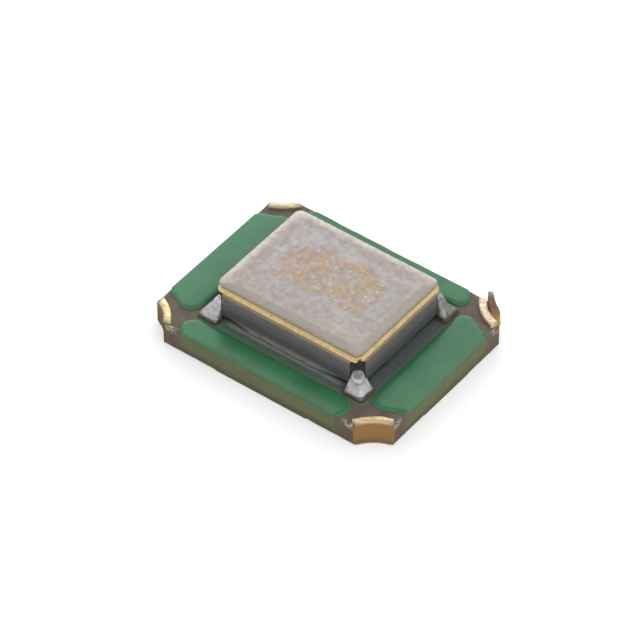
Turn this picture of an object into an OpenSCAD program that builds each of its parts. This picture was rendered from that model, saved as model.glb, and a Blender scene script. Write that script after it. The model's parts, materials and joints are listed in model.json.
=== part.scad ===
// Crystal oscillator: a seam sealed ceramic package, soldered on a small carrier board
// whose four corners are plated concave terminals. Millimetres, Z up, the lands at Z = 0.
// The carrier's corners are counted from left front: 1 (-X -Y), 2 (+X -Y), 3 (+X +Y), 4 (-X +Y).

/* [Carrier board] */
// Width of the mask strip at each end of the board
end_strip = 0.455; // [0.35:0.005:0.6]
// Width of the mask strip along each side of the board
side_strip = 0.29; // [0.24:0.005:0.45]
// Thickness of the glass and epoxy laminate
core_t = 0.28; // [0.2:0.01:0.6]
// Thickness of the copper on each face, with its gold plating
foil_t = 0.02; // [0.012:0.002:0.024]
// Thickness of the solder mask on the top face
mask_t = 0.025; // [0.015:0.001:0.04]
// Thickness of the solder mask on the underside, thinner than the copper
under_mask_t = 0.01; // [0.005:0.001:0.011]

/* [Corner terminals] */
// Radius of the drilled hole that each corner was cut through
cast_r = 0.5; // [0.44:0.01:0.56]
// How far the hole cuts into the long edge
cast_leg_x = 0.33; // [0.28:0.01:0.36]
// How far the hole cuts into the short edge
cast_leg_y = 0.245; // [0.2:0.005:0.27]
// Thickness of the copper that lines the hole
plate_t = 0.02; // [0.012:0.002:0.03]
// How far the hole of corner 1 was drilled off its place, along X and away from the board
drift_1 = 0.06; // [0:0.005:0.07]
// How far the hole of corner 4 was drilled off its place, along X and along Y and away from the board
drift_4 = 0.045; // [0:0.005:0.05]
// Width of the lip on the top face
lip_w = 0.09; // [0.06:0.005:0.1]
// Thickness of the lip, where the plating piled up on the foil
lip_t = 0.05; // [0.03:0.005:0.06]
// Distance from the lip's ends to the board's edges
lip_setback = 0.05; // [0.02:0.01:0.08]
// Length of each land on the underside, along X
land_l = 0.95; // [0.85:0.01:1.1]
// Width of each land on the underside, along Y
land_w = 0.78; // [0.72:0.01:0.9]
// Distance from the lands to the board's edges
land_setback = 0.03; // [0.01:0.005:0.05]

/* [Torn plating at corner 3] */
// Height of the sliver's tip above the lip
burr_h = 0.14; // [0.05:0.01:0.2]
// How far its crest falls from the tip to the low end
burr_fall = 0.29; // [0.15:0.01:0.3]
// Thickness at its blunt tip
burr_tip = 0.065; // [0.04:0.005:0.08]
// Thickness where it is widest, below the lip
burr_belly = 0.12; // [0.08:0.005:0.13]
// Thickness at its low end
burr_end = 0.03; // [0.02:0.005:0.04]
// How far it reaches down the hole
burr_root = 0.14; // [0.12:0.01:0.18]

/* [Solder mask openings] */
// Gap between the package and the edge of the mask window
window_gap = 0.165; // [0.155:0.005:0.2]
// Gap between a corner's lip and the mask
cast_clear = 0.11; // [0.09:0.005:0.14]
// Radius of the mask's free ends
tip_r = 0.085; // [0.06:0.005:0.1]
// Gap between the lands and the mask on the underside
land_clear = 0.05; // [0.03:0.01:0.08]

/* [Pads under the package] */
// Side of the small square that each copper pad shows round the package's corner
pad_side = 0.28; // [0.26:0.005:0.29]
// Radius of this square's corners
pad_round = 0.04; // [0.03:0.005:0.06]
// Distance from the rest of the pad to the package's long and short sides
pad_inset = 0.08; // [0.07:0.005:0.09]
// Diameter of the filled via from the pad to the land
via_d = 0.2; // [0.14:0.01:0.24]
// Distance of the via's centre from the package's long and short sides
via_inset = 0.18; // [0.14:0.01:0.2]

/* [Solder joints] */
// Thickness of the solder under the package
joint_t = 0.02; // [0.01:0.005:0.04]
// Width of the pad's rim that the fillets leave bare
fillet_bare = 0.01; // [0.005:0.001:0.04]
// How high the fillet climbs at corner 1
climb_1 = 0.3; // [0.14:0.01:0.3]
// How high the fillet climbs at corner 2
climb_2 = 0.18; // [0.14:0.01:0.3]
// How high the fillet climbs at corner 3
climb_3 = 0.28; // [0.14:0.01:0.3]
// How high the fillet climbs at corner 4
climb_4 = 0.22; // [0.14:0.01:0.3]
// How full the fillets are halfway out, from a hollow one to a straight one, corner 1 to corner 4
fillet_full = [0.48, 0.4, 0.36, 0.32]; // [0.2:0.02:0.48]
// Distance of the fillets' axes from the package's long and short sides
fillet_in = 0.05; // [0.04:0.005:0.06]
// Half the width of a fillet at its top
fillet_top = 0.06; // [0.03:0.005:0.07]

/* [Ceramic package] */
// Length of the ceramic body
body_l = 2.0; // [1.96:0.01:2.04]
// Width of the ceramic body
body_w = 1.55; // [1.52:0.01:1.59]
// Height of the ceramic body
body_h = 0.32; // [0.3:0.01:0.4]
// Thickness of the body's floor
floor_t = 0.09; // [0.07:0.005:0.1]
// Height of the chip's pit, from the floor to the crystal's shelf
pit_h = 0.15; // [0.145:0.005:0.17]
// Thickness of the body's walls
wall_t = 0.19; // [0.17:0.005:0.2]
// Depth of the crystal's shelf, along X
shelf_l = 0.3; // [0.26:0.01:0.32]
// Radius of the cavity's corners
cavity_r = 0.07; // [0.04:0.01:0.1]
// Radius of the groove at each outer corner
notch_r = 0.12; // [0.11:0.005:0.13]
// Length of the ragged break along the foot of the front side
break_l = 1.4; // [0.8:0.05:1.45]
// How far the break stands out
break_out = 0.015; // [0.008:0.001:0.02]
// Height of the break
break_h = 0.03; // [0.015:0.005:0.05]

/* [Package terminals] */
// Length of each terminal pad
term_l = 0.65; // [0.6:0.01:0.75]
// Width of each terminal pad
term_w = 0.55; // [0.5:0.01:0.62]
// Thickness of the printed and plated metal
term_t = 0.01; // [0.006:0.001:0.015]
// How high the plating climbs in the corner grooves
term_climb = 0.3; // [0.3:0.01:0.3]
// Diameter of the filled vias through the floor
stub_d = 0.08; // [0.06:0.005:0.1]
// Distance of these vias from the package's short sides
stub_in_x = 0.56; // [0.52:0.01:0.6]
// Distance of these vias from the package's long sides
stub_in_y = 0.315; // [0.28:0.005:0.35]
// Width of the printed tracks inside
track_w = 0.06; // [0.04:0.005:0.07]
// Thickness of the printed tracks inside
track_t = 0.008; // [0.005:0.001:0.01]

/* [Seal ring and lid] */
// Thickness of the printed frame under the ring
seal_t = 0.01; // [0.006:0.001:0.015]
// Ledge of ceramic left round the ring
ring_ledge = 0.01; // [0.005:0.005:0.03]
// Height of the ring
ring_h = 0.08; // [0.06:0.005:0.12]
// Width of the ring's wall
ring_wall = 0.15; // [0.12:0.005:0.17]
// Radius of the ring's outer corners
ring_r = 0.095; // [0.08:0.005:0.12]
// Gap between the lid's edge and the ring's edge
lid_inset = 0.0125; // [0.005:0.0025:0.02]
// Thickness of the lid at its welded rim
lid_rim_t = 0.025; // [0.015:0.005:0.035]
// Thickness of the lid in the middle
lid_t = 0.045; // [0.04:0.005:0.08]
// Width of the rim's slope
lid_bevel = 0.1; // [0.06:0.01:0.14]

/* [Crystal] */
// Thickness of the blank, which sets the frequency
blank_t = 0.035; // [0.03:0.001:0.045]
// Gap between the blank's held end and the cavity's wall
blank_gap = 0.05; // [0.03:0.005:0.07]
// Gap between the blank's free end and the cavity's wall
blank_end_gap = 0.27; // [0.2:0.01:0.3]
// Gap between the blank's sides and the cavity's walls
blank_side_gap = 0.16; // [0.12:0.01:0.17]
// Bare quartz between the electrodes and the blank's ends
electrode_in_x = 0.275; // [0.2:0.005:0.3]
// Bare quartz between the electrodes and the blank's sides
electrode_in_y = 0.125; // [0.08:0.005:0.15]
// Drawn thickness of the electrodes
electrode_t = 0.004; // [0.003:0.001:0.006]
// Width of the tabs that lead to the held end
tab_w = 0.22; // [0.18:0.01:0.26]
// Distance of the adhesive dabs from the blank's sides
dab_in = 0.145; // [0.14:0.005:0.16]
// Diameter of an adhesive dab
dab_d = 0.16; // [0.12:0.01:0.17]
// Height of an adhesive dab
dab_h = 0.02; // [0.014:0.002:0.026]

/* [Oscillator chip] */
// Length of the chip
chip_l = 0.86; // [0.8:0.01:0.9]
// Width of the chip
chip_w = 0.78; // [0.7:0.01:0.84]
// Thickness of the chip
chip_t = 0.09; // [0.06:0.005:0.095]
// Gap between the chip and the crystal's shelf
chip_gap = 0.08; // [0.05:0.01:0.12]
// Distance of the outer bumps from the chip's ends
bump_in_x = 0.13; // [0.1:0.005:0.15]
// Distance of the bumps from the chip's sides
bump_in_y = 0.11; // [0.1:0.005:0.13]
// Diameter of a gold bump
bump_d = 0.07; // [0.05:0.005:0.08]
// Height of a gold bump
bump_h = 0.02; // [0.014:0.002:0.024]

/* [Hidden] */
$fn = 48;
// Overshoot of a cut past the face it opens
cut = 0.02;
CORNERS = [[-1, -1], [1, -1], [1, 1], [-1, 1]];

// Heights of the faces, from the lands up
core_top = foil_t + core_t;
pad_top = core_top + foil_t;
lip_top = core_top + lip_t;
term_z = pad_top + joint_t;
body_z = term_z + term_t;
floor_z = body_z + floor_t;
shelf_z = floor_z + pit_h;
body_top = body_z + body_h;
ring_z = body_top + seal_t;
lid_z = ring_z + ring_h;

// The board, the window in its mask and the ring round the package
window_l = body_l + 2 * window_gap;
window_w = body_w + 2 * window_gap;
board_l = window_l + 2 * end_strip;
board_w = window_w + 2 * side_strip;
ring_l = body_l - 2 * ring_ledge;
ring_w = body_w - 2 * ring_ledge;

// The fillets and the vias at a corner
fillet_climb = [climb_1, climb_2, climb_3, climb_4];
stub_x = body_l / 2 - stub_in_x;
stub_y = body_w / 2 - stub_in_y;

// The drilled hole at a corner: it meets the two edges at the ends of a chord
half_chord = norm([cast_leg_x, cast_leg_y]) / 2;
hole_out = sqrt(cast_r * cast_r - half_chord * half_chord) / (2 * half_chord);
hole_x = board_l / 2 - cast_leg_x / 2 + hole_out * cast_leg_y;
hole_y = board_w / 2 - cast_leg_y / 2 + hole_out * cast_leg_x;
hole_mid = 180 + atan2(cast_leg_x, cast_leg_y);
hole_half = asin(half_chord / cast_r);

// The torn sliver runs along part of that arc
burr_from = hole_mid - hole_half + 5.5;
burr_to = hole_mid + hole_half - 6;

// The pit, the shelf and the crystal's place on it
cavity_l = body_l - 2 * wall_t;
cavity_w = body_w - 2 * wall_t;
pit_x = -cavity_l / 2 + shelf_l;
blank_x = -cavity_l / 2 + blank_gap;
blank_l = cavity_l - blank_gap - blank_end_gap;
blank_w = cavity_w - 2 * blank_side_gap;
dab_x = (blank_x + pit_x) / 2;
dab_y = blank_w / 2 - dab_in;
blank_z = shelf_z + track_t + dab_h + electrode_t;
lid_l = ring_l - 2 * lid_inset;
lid_w = ring_w - 2 * lid_inset;

// The chip, face down in the pit, and its bumps
chip_x = pit_x + chip_gap + chip_l / 2;
bump_pitch = chip_l / 2 - bump_in_x;
bump_row = chip_w / 2 - bump_in_y;

// Centre of the hole at corner k, as seen from corner 3
function hole(k) = [hole_x + (k == 1 ? drift_1 : k == 4 ? drift_4 : 0), hole_y + (k == 4 ? drift_4 : 0)];

// Puts a shape made for corner 3 into corner k
module in_corner(k) {
    mirror([CORNERS[k - 1][0] < 0 ? 1 : 0, 0, 0])
        mirror([0, CORNERS[k - 1][1] < 0 ? 1 : 0, 0])
            children();
}

// Repeats a shape made for corner 3 in all four corners
module in_all_corners() {
    for (k = [1:4]) in_corner(k) children();
}

// Rectangle with true round corners
module rounded_rect(l, w, r) {
    difference() {
        square([l, w], center = true);
        in_all_corners()
            translate([l / 2 - r, w / 2 - r])
                difference() {
                    square(r + cut);
                    circle(r);
                }
    }
}

// Box from its lowest corner in X and Y, on the height z
module slab(x0, y0, x1, y1, z, t) {
    translate([min(x0, x1), min(y0, y1), z]) cube([abs(x1 - x0), abs(y1 - y0), t]);
}

// The board seen from above, cut by corner holes of radius r
module board_outline(r) {
    difference() {
        square([board_l, board_w], center = true);
        for (k = [1:4]) in_corner(k) translate(hole(k)) circle(r);
    }
}

// The package seen from above, with corner grooves of radius r
module package_outline(r) {
    difference() {
        square([body_l, body_w], center = true);
        in_all_corners() translate([body_l / 2, body_w / 2]) circle(r);
    }
}

// One land on the underside, before the hole is cut
module land_area(grow) {
    translate([board_l / 2 - land_l - grow, board_w / 2 - land_w - grow])
        square([land_l + grow + cut, land_w + grow + cut]);
}

// The metal pad under one corner of the package
module terminal_area() {
    intersection() {
        package_outline(notch_r - term_t);
        translate([body_l / 2 - term_l, body_w / 2 - term_w]) square([term_l, term_w]);
    }
}

module board_core() {
    color([0.42, 0.38, 0.24])
        translate([0, 0, foil_t])
            linear_extrude(core_t)
                difference() {
                    board_outline(cast_r + plate_t);
                    in_all_corners()
                        translate([body_l / 2 - via_inset, body_w / 2 - via_inset]) circle(d = via_d);
                }
}

// The mask keeps clear of the lips and the package, and its narrow necks round off to free ends
module top_mask() {
    color([0.16, 0.42, 0.27])
        translate([0, 0, core_top])
            linear_extrude(mask_t)
                offset(r = tip_r, $fn = 32) offset(r = -tip_r)
                    difference() {
                        board_outline(cast_r + lip_w + cast_clear);
                        square([window_l, window_w], center = true);
                    }
}

module bottom_mask() {
    color([0.13, 0.36, 0.23])
        translate([0, 0, foil_t - under_mask_t])
            linear_extrude(under_mask_t)
                difference() {
                    square([board_l, board_w], center = true);
                    in_all_corners() land_area(land_clear);
                }
}

// Sliver of plating left standing when the corner was cut: blunt at its tip, thickest below the lip
module torn_sliver() {
    arc = [for (i = [0:6]) burr_from + (burr_to - burr_from) * i / 6];
    outer = cast_r + plate_t / 2;
    belly = burr_from + 0.65 * (burr_to - burr_from);
    span = cast_r * (burr_to - burr_from) * PI / 180;
    foot_z = core_top - burr_root;
    difference() {
        translate([hole_x, hole_y, foot_z])
            linear_extrude(burr_root + lip_t + burr_h)
                polygon(concat(
                    [for (a = arc) outer * [cos(a), sin(a)]],
                    [(cast_r - burr_end) * [cos(burr_to), sin(burr_to)],
                     (cast_r - burr_belly) * [cos(belly), sin(belly)],
                     (cast_r - burr_tip) * [cos(burr_from), sin(burr_from)]]));
        translate([hole_x + cast_r * cos(burr_from), hole_y + cast_r * sin(burr_from), lip_top + burr_h])
            rotate([0, 0, (burr_from + burr_to) / 2 + 90])
                rotate([0, atan2(burr_fall, span), 0])
                    translate([-board_l / 4, -board_l / 2, 0])
                        cube([board_l, board_l, board_l]);
    }
}

// Part of a ring round the hole of corner k
module hole_ring(k, outer) {
    translate(hole(k))
        difference() {
            circle(outer);
            circle(cast_r);
        }
}

module corner_terminal(k) {
    color([0.86, 0.7, 0.4])
        in_corner(k) {
            // lip on the top face
            translate([0, 0, core_top])
                linear_extrude(lip_t)
                    intersection() {
                        square([board_l - 2 * lip_setback, board_w - 2 * lip_setback], center = true);
                        hole_ring(k, cast_r + lip_w);
                    }
            // lining of the hole
            translate([0, 0, foil_t])
                linear_extrude(core_t)
                    intersection() {
                        square([board_l, board_w], center = true);
                        hole_ring(k, cast_r + plate_t);
                    }
            // land on the underside
            linear_extrude(foil_t)
                difference() {
                    intersection() {
                        square([board_l - 2 * land_setback, board_w - 2 * land_setback], center = true);
                        land_area(0);
                    }
                    translate(hole(k)) circle(cast_r);
                }
            if (k == 3) torn_sliver();
        }
}

// Pad at the package's corner, seen from above: under the terminal, and a small square round the corner
module pad_area(grow) {
    translate([body_l / 2 - term_l, body_w / 2 - term_w])
        square([term_l - pad_inset, term_w - pad_inset]);
    translate([body_l / 2, body_w / 2])
        rounded_rect(pad_side + 2 * grow, pad_side + 2 * grow, pad_round + grow);
}

module board_pad(k) {
    color([0.84, 0.68, 0.38])
        in_corner(k) {
            translate([0, 0, core_top]) linear_extrude(foil_t) pad_area(0);
            translate([body_l / 2 - via_inset, body_w / 2 - via_inset, foil_t])
                cylinder(d = via_d, h = core_t);
        }
}

// Thin rounded square at corner 3: its half side, its corners' radius, how far in from the package's
// corner its centre lies, and its height above the pad
module fillet_plan(half, r, inset, z) {
    translate([body_l / 2 - inset, body_w / 2 - inset, pad_top + z])
        linear_extrude(joint_t / 10) rounded_rect(2 * half, 2 * half, r);
}

// Fillet of corner k in two steps: from the pad's small square to half way out, and on to the top
module fillet(k) {
    foot = pad_side / 2 - fillet_bare;
    top_z = joint_t + fillet_climb[k - 1];
    mid_z = joint_t + fillet_full[k - 1] * fillet_climb[k - 1];
    hull() {
        fillet_plan(foot, pad_round - fillet_bare, 0, 0.9 * joint_t);
        fillet_plan((foot + fillet_top) / 2, pad_round, fillet_in / 2, mid_z);
    }
    hull() {
        fillet_plan((foot + fillet_top) / 2, pad_round, fillet_in / 2, mid_z);
        fillet_plan(fillet_top, 0.8 * fillet_top, fillet_in, top_z - joint_t / 10);
    }
}

module solder_joint(k) {
    color([0.74, 0.74, 0.74])
        in_corner(k) {
            // solder between the pad and the terminal, out to the pad's rim
            translate([0, 0, pad_top]) linear_extrude(joint_t) pad_area(-fillet_bare);
            // fillet that fills the corner groove and runs out on the pad
            difference() {
                fillet(k);
                translate([0, 0, term_z])
                    linear_extrude(term_t + body_h + cut) package_outline(notch_r - term_t);
            }
        }
}

module ceramic_body() {
    color([0.27, 0.26, 0.27]) {
        difference() {
            translate([0, 0, body_z]) linear_extrude(body_h) package_outline(notch_r);
            translate([0, 0, shelf_z])
                linear_extrude(body_h) rounded_rect(cavity_l, cavity_w, cavity_r);
            translate([pit_x + (cavity_l - shelf_l) / 2, 0, floor_z])
                linear_extrude(body_h) rounded_rect(cavity_l - shelf_l, cavity_w, cavity_r);
            in_all_corners()
                translate([stub_x, stub_y, body_z - cut]) cylinder(d = stub_d, h = floor_t + 2 * cut);
        }
        slab(-break_l / 2, -body_w / 2 - break_out, break_l / 2, -body_w / 2, body_z, break_h);
    }
}

// Pad, plated groove, via and track of one corner; the left tracks end at the middle bumps
module package_terminal(k) {
    bump_x = CORNERS[k - 1][0] < 0 ? -chip_x : chip_x + bump_pitch;
    color([0.8, 0.66, 0.4])
        in_corner(k) {
            translate([0, 0, term_z]) linear_extrude(term_t) terminal_area();
            translate([0, 0, term_z])
                linear_extrude(term_t + term_climb)
                    intersection() {
                        square([body_l, body_w], center = true);
                        translate([body_l / 2, body_w / 2])
                            difference() {
                                circle(notch_r);
                                circle(notch_r - term_t);
                            }
                    }
            translate([stub_x, stub_y, body_z]) cylinder(d = stub_d, h = floor_t);
            slab(bump_x - track_w / 2, stub_y - track_w / 2, stub_x + track_w / 2, stub_y + track_w / 2,
                 floor_z, track_t);
            slab(bump_x - track_w / 2, bump_row - track_w / 2, bump_x + track_w / 2, stub_y + track_w / 2,
                 floor_z, track_t);
            translate([bump_x, bump_row, floor_z]) cylinder(d = bump_d + track_t, h = track_t);
        }
}

module seal_metal() {
    color([0.82, 0.68, 0.42])
        translate([0, 0, body_top])
            linear_extrude(seal_t)
                intersection() {
                    package_outline(notch_r);
                    difference() {
                        rounded_rect(ring_l, ring_w, ring_r);
                        rounded_rect(ring_l - 2 * ring_wall, ring_w - 2 * ring_wall, cavity_r);
                    }
                }
}

module seal_ring() {
    color([0.85, 0.71, 0.45])
        translate([0, 0, ring_z])
            linear_extrude(ring_h)
                difference() {
                    rounded_rect(ring_l, ring_w, ring_r);
                    rounded_rect(ring_l - 2 * ring_wall, ring_w - 2 * ring_wall, cavity_r);
                }
}

module lid() {
    color([0.73, 0.69, 0.66])
        translate([0, 0, lid_z])
            hull($fn = 32) {
                linear_extrude(lid_rim_t) rounded_rect(lid_l, lid_w, ring_r - lid_inset);
                linear_extrude(lid_t)
                    rounded_rect(lid_l - 2 * lid_bevel, lid_w - 2 * lid_bevel, ring_r - lid_inset);
            }
}

// Land on the shelf and its track, down the shelf's face and along the floor to a bump
module crystal_track(side) {
    color([0.84, 0.7, 0.44])
        mirror([0, side < 0 ? 1 : 0, 0]) {
            slab(blank_x, dab_y - tab_w / 2, pit_x + track_t, dab_y + tab_w / 2, shelf_z, track_t);
            slab(pit_x, dab_y - track_w / 2, pit_x + track_t, dab_y + track_w / 2, floor_z, pit_h + track_t);
            slab(pit_x, dab_y - track_w / 2, chip_x - bump_pitch + track_w / 2, dab_y + track_w / 2,
                 floor_z, track_t);
            slab(chip_x - bump_pitch - track_w / 2, bump_row - track_w / 2,
                 chip_x - bump_pitch + track_w / 2, dab_y + track_w / 2, floor_z, track_t);
            translate([chip_x - bump_pitch, bump_row, floor_z]) cylinder(d = bump_d + track_t, h = track_t);
        }
}

// Dab between the land and the blank, bulged between them
module adhesive(side) {
    color([0.6, 0.59, 0.56])
        translate([dab_x, side * dab_y, shelf_z + track_t])
            rotate_extrude()
                polygon(concat(
                    [[0, 0]],
                    [for (a = [-60:20:60]) [dab_d / 2 * (0.8 + 0.2 * cos(1.5 * a)), dab_h * (0.5 + a / 120)]],
                    [[0, dab_h]]));
}

module quartz_blank() {
    color([0.86, 0.9, 0.92])
        slab(blank_x, -blank_w / 2, blank_x + blank_l, blank_w / 2, blank_z, blank_t);
}

// Electrode on one face at the height z, with its tab to the held end on one side
module electrode_face(side, z) {
    slab(blank_x + electrode_in_x, -blank_w / 2 + electrode_in_y,
         blank_x + blank_l - electrode_in_x, blank_w / 2 - electrode_in_y, z, electrode_t);
    slab(blank_x, side * dab_y - tab_w / 2, blank_x + blank_l / 2, side * dab_y + tab_w / 2, z, electrode_t);
}

module electrode_bottom() {
    color([0.9, 0.8, 0.5]) electrode_face(-1, blank_z - electrode_t);
}

// The top electrode folds over the held end, so that both tabs meet their dabs from below
module electrode_top() {
    color([0.9, 0.8, 0.5]) {
        electrode_face(1, blank_z + blank_t);
        slab(blank_x - electrode_t, dab_y - tab_w / 2, blank_x, dab_y + tab_w / 2,
             blank_z - electrode_t, blank_t + 2 * electrode_t);
        slab(blank_x, dab_y - tab_w / 2, pit_x, dab_y + tab_w / 2, blank_z - electrode_t, electrode_t);
    }
}

module ic_die() {
    color([0.35, 0.36, 0.42])
        slab(chip_x - chip_l / 2, -chip_w / 2, chip_x + chip_l / 2, chip_w / 2,
             floor_z + track_t + bump_h, chip_t);
}

module ic_bumps() {
    color([0.88, 0.72, 0.36])
        for (x = [-bump_pitch, 0, bump_pitch], y = [-bump_row, bump_row])
            translate([chip_x + x, y, floor_z + track_t])
                rotate_extrude()
                    polygon([[0, 0], [0.42 * bump_d, 0], [bump_d / 2, bump_h / 4],
                             [bump_d / 2, 3 * bump_h / 4], [0.42 * bump_d, bump_h], [0, bump_h]]);
}

board_core();
top_mask();
bottom_mask();
for (k = [1:4]) {
    corner_terminal(k);
    board_pad(k);
    solder_joint(k);
    package_terminal(k);
}
ceramic_body();
seal_metal();
seal_ring();
lid();
crystal_track(-1);  // crystal_track_1
crystal_track(1);  // crystal_track_2
adhesive(-1);  // adhesive_1
adhesive(1);  // adhesive_2
quartz_blank();
electrode_top();
electrode_bottom();
ic_die();
ic_bumps();
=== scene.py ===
"""Crystal oscillator on its carrier board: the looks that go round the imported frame."""
import json
import logging
import math
from dataclasses import dataclass, field
from enum import Enum

import bmesh
import bpy
import numpy as np
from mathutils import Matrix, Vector

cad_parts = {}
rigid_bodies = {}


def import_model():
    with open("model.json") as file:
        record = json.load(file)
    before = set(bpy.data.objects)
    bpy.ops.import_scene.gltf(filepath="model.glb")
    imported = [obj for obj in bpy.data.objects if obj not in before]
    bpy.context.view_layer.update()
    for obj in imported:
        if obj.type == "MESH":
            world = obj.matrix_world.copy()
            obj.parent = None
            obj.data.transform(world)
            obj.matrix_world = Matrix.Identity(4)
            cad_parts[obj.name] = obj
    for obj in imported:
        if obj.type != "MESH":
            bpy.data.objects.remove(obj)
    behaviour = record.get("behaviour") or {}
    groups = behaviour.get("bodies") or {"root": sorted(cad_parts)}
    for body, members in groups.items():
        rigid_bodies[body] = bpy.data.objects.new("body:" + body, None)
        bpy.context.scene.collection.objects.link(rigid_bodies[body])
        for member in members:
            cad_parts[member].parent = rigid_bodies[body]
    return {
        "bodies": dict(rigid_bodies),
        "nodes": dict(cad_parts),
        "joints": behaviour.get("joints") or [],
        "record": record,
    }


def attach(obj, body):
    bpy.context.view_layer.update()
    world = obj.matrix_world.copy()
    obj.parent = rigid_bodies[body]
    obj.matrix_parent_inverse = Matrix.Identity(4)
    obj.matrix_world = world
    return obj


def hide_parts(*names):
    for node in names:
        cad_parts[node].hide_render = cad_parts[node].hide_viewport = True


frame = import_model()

LOG = logging.getLogger("oscillator")
MM = 0.001
MERGE = 2e-8

Array = np.ndarray
Colour = tuple[float, float, float]


# ---------------------------------------------------------------------------
# Plan curves, fields and meshes. Lengths are in millimetres until a mesh is made.
# ---------------------------------------------------------------------------


def arc(centre: tuple[float, float], radius: float, start: float, end: float, count: int = 12) -> Array:
    """Points on a circle from one angle to another.

    Args:
        centre: the circle's centre in plan.
        radius: the circle's radius.
        start: first angle in degrees.
        end: last angle in degrees; the way round is the shorter number line.
        count: how many equal steps the arc is cut into.

    Returns:
        An array of count + 1 plan points: centre + radius * (cos a, sin a).
    """
    angle = np.radians(np.linspace(start, end, count + 1))
    return np.stack([centre[0] + radius * np.cos(angle), centre[1] + radius * np.sin(angle)], 1)


def rounded_rectangle(length: float, width: float, radius: float, count: int = 10) -> Array:
    """Closed outline of a rectangle with round corners, counter-clockwise.

    Args:
        length: size along X.
        width: size along Y.
        radius: corner radius.
        count: steps in each quarter circle.

    Returns:
        Four quarter circles about (+-(l/2 - r), +-(w/2 - r)), joined by straight runs.
    """
    x, y = length / 2 - radius, width / 2 - radius
    turns = [(x, -y, -90), (x, y, 0), (-x, y, 90), (-x, -y, 180)]
    return np.concatenate([arc((cx, cy), radius, a, a + 90, count) for cx, cy, a in turns])


def resample(outline: Array, step: float) -> Array:
    """Cuts each side of a closed outline into equal parts no longer than step, and keeps its corners."""
    ahead = np.roll(outline, -1, 0)
    parts = np.maximum(1, np.ceil(np.linalg.norm(ahead - outline, axis=1) / step)).astype(int)
    index = np.repeat(np.arange(len(outline)), parts)
    first = np.repeat(np.cumsum(parts) - parts, parts)
    share = ((np.arange(parts.sum()) - first) / parts[index])[:, None]
    return outline[index] * (1 - share) + ahead[index] * share


def outward(outline: Array) -> Array:
    """Mitre vectors of a closed counter-clockwise outline.

    A vertex between two sides with unit normals a and b gets (a + b) / (1 + a.b), so that moving every
    vertex by d times its vector moves every side by d.
    """
    side = np.roll(outline, -1, 0) - outline
    side /= np.linalg.norm(side, axis=1, keepdims=True) + 1e-12
    normal = np.stack([side[:, 1], -side[:, 0]], 1)
    before = np.roll(normal, 1, 0)
    return (before + normal) / (1 + (before * normal).sum(1, keepdims=True)).clip(0.35)


def run_length(outline: Array) -> Array:
    """Distance along a closed outline to each of its vertices."""
    return np.concatenate([[0.0], np.cumsum(np.linalg.norm(np.diff(outline, axis=0), axis=1))])


def grain(u: Array, v: Array, cell: float, seed: int) -> Array:
    """Smooth random field between -1 and 1.

    Args:
        u: first coordinate.
        v: second coordinate, same shape as u.
        cell: size of one cell.
        seed: number that fixes the table of random values.

    Returns:
        Values at the cell corners, blended inside each cell with the cubic 3t^2 - 2t^3 both ways.
    """
    table = np.random.default_rng(seed).uniform(-1, 1, (61, 61))
    a, b = np.asarray(u) / cell, np.asarray(v) / cell
    i, j = np.floor(a).astype(int), np.floor(b).astype(int)
    s, t = a - i, b - j
    s, t = s * s * (3 - 2 * s), t * t * (3 - 2 * t)
    low = table[i % 61, j % 61] * (1 - s) + table[(i + 1) % 61, j % 61] * s
    high = table[i % 61, (j + 1) % 61] * (1 - s) + table[(i + 1) % 61, (j + 1) % 61] * s
    return low * (1 - t) + high * t


def sweep(outline: Array, profile: Array, shift: Array | None = None) -> Array:
    """Carries a profile round a closed outline.

    Args:
        outline: n plan points, counter-clockwise.
        profile: m rows of (inset, height).
        shift: optional n by m extra insets.

    Returns:
        An n by m by 3 grid: plan point minus (inset + shift) times its mitre vector, at the height.
    """
    inset = np.broadcast_to(profile[None, :, 0], (len(outline), len(profile)))
    if shift is not None:
        inset = inset + shift
    plan = outline[:, None, :] - inset[..., None] * outward(outline)[:, None, :]
    height = np.broadcast_to(profile[None, :, 1:], (*plan.shape[:2], 1))
    return np.concatenate([plan, height], 2)


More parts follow.
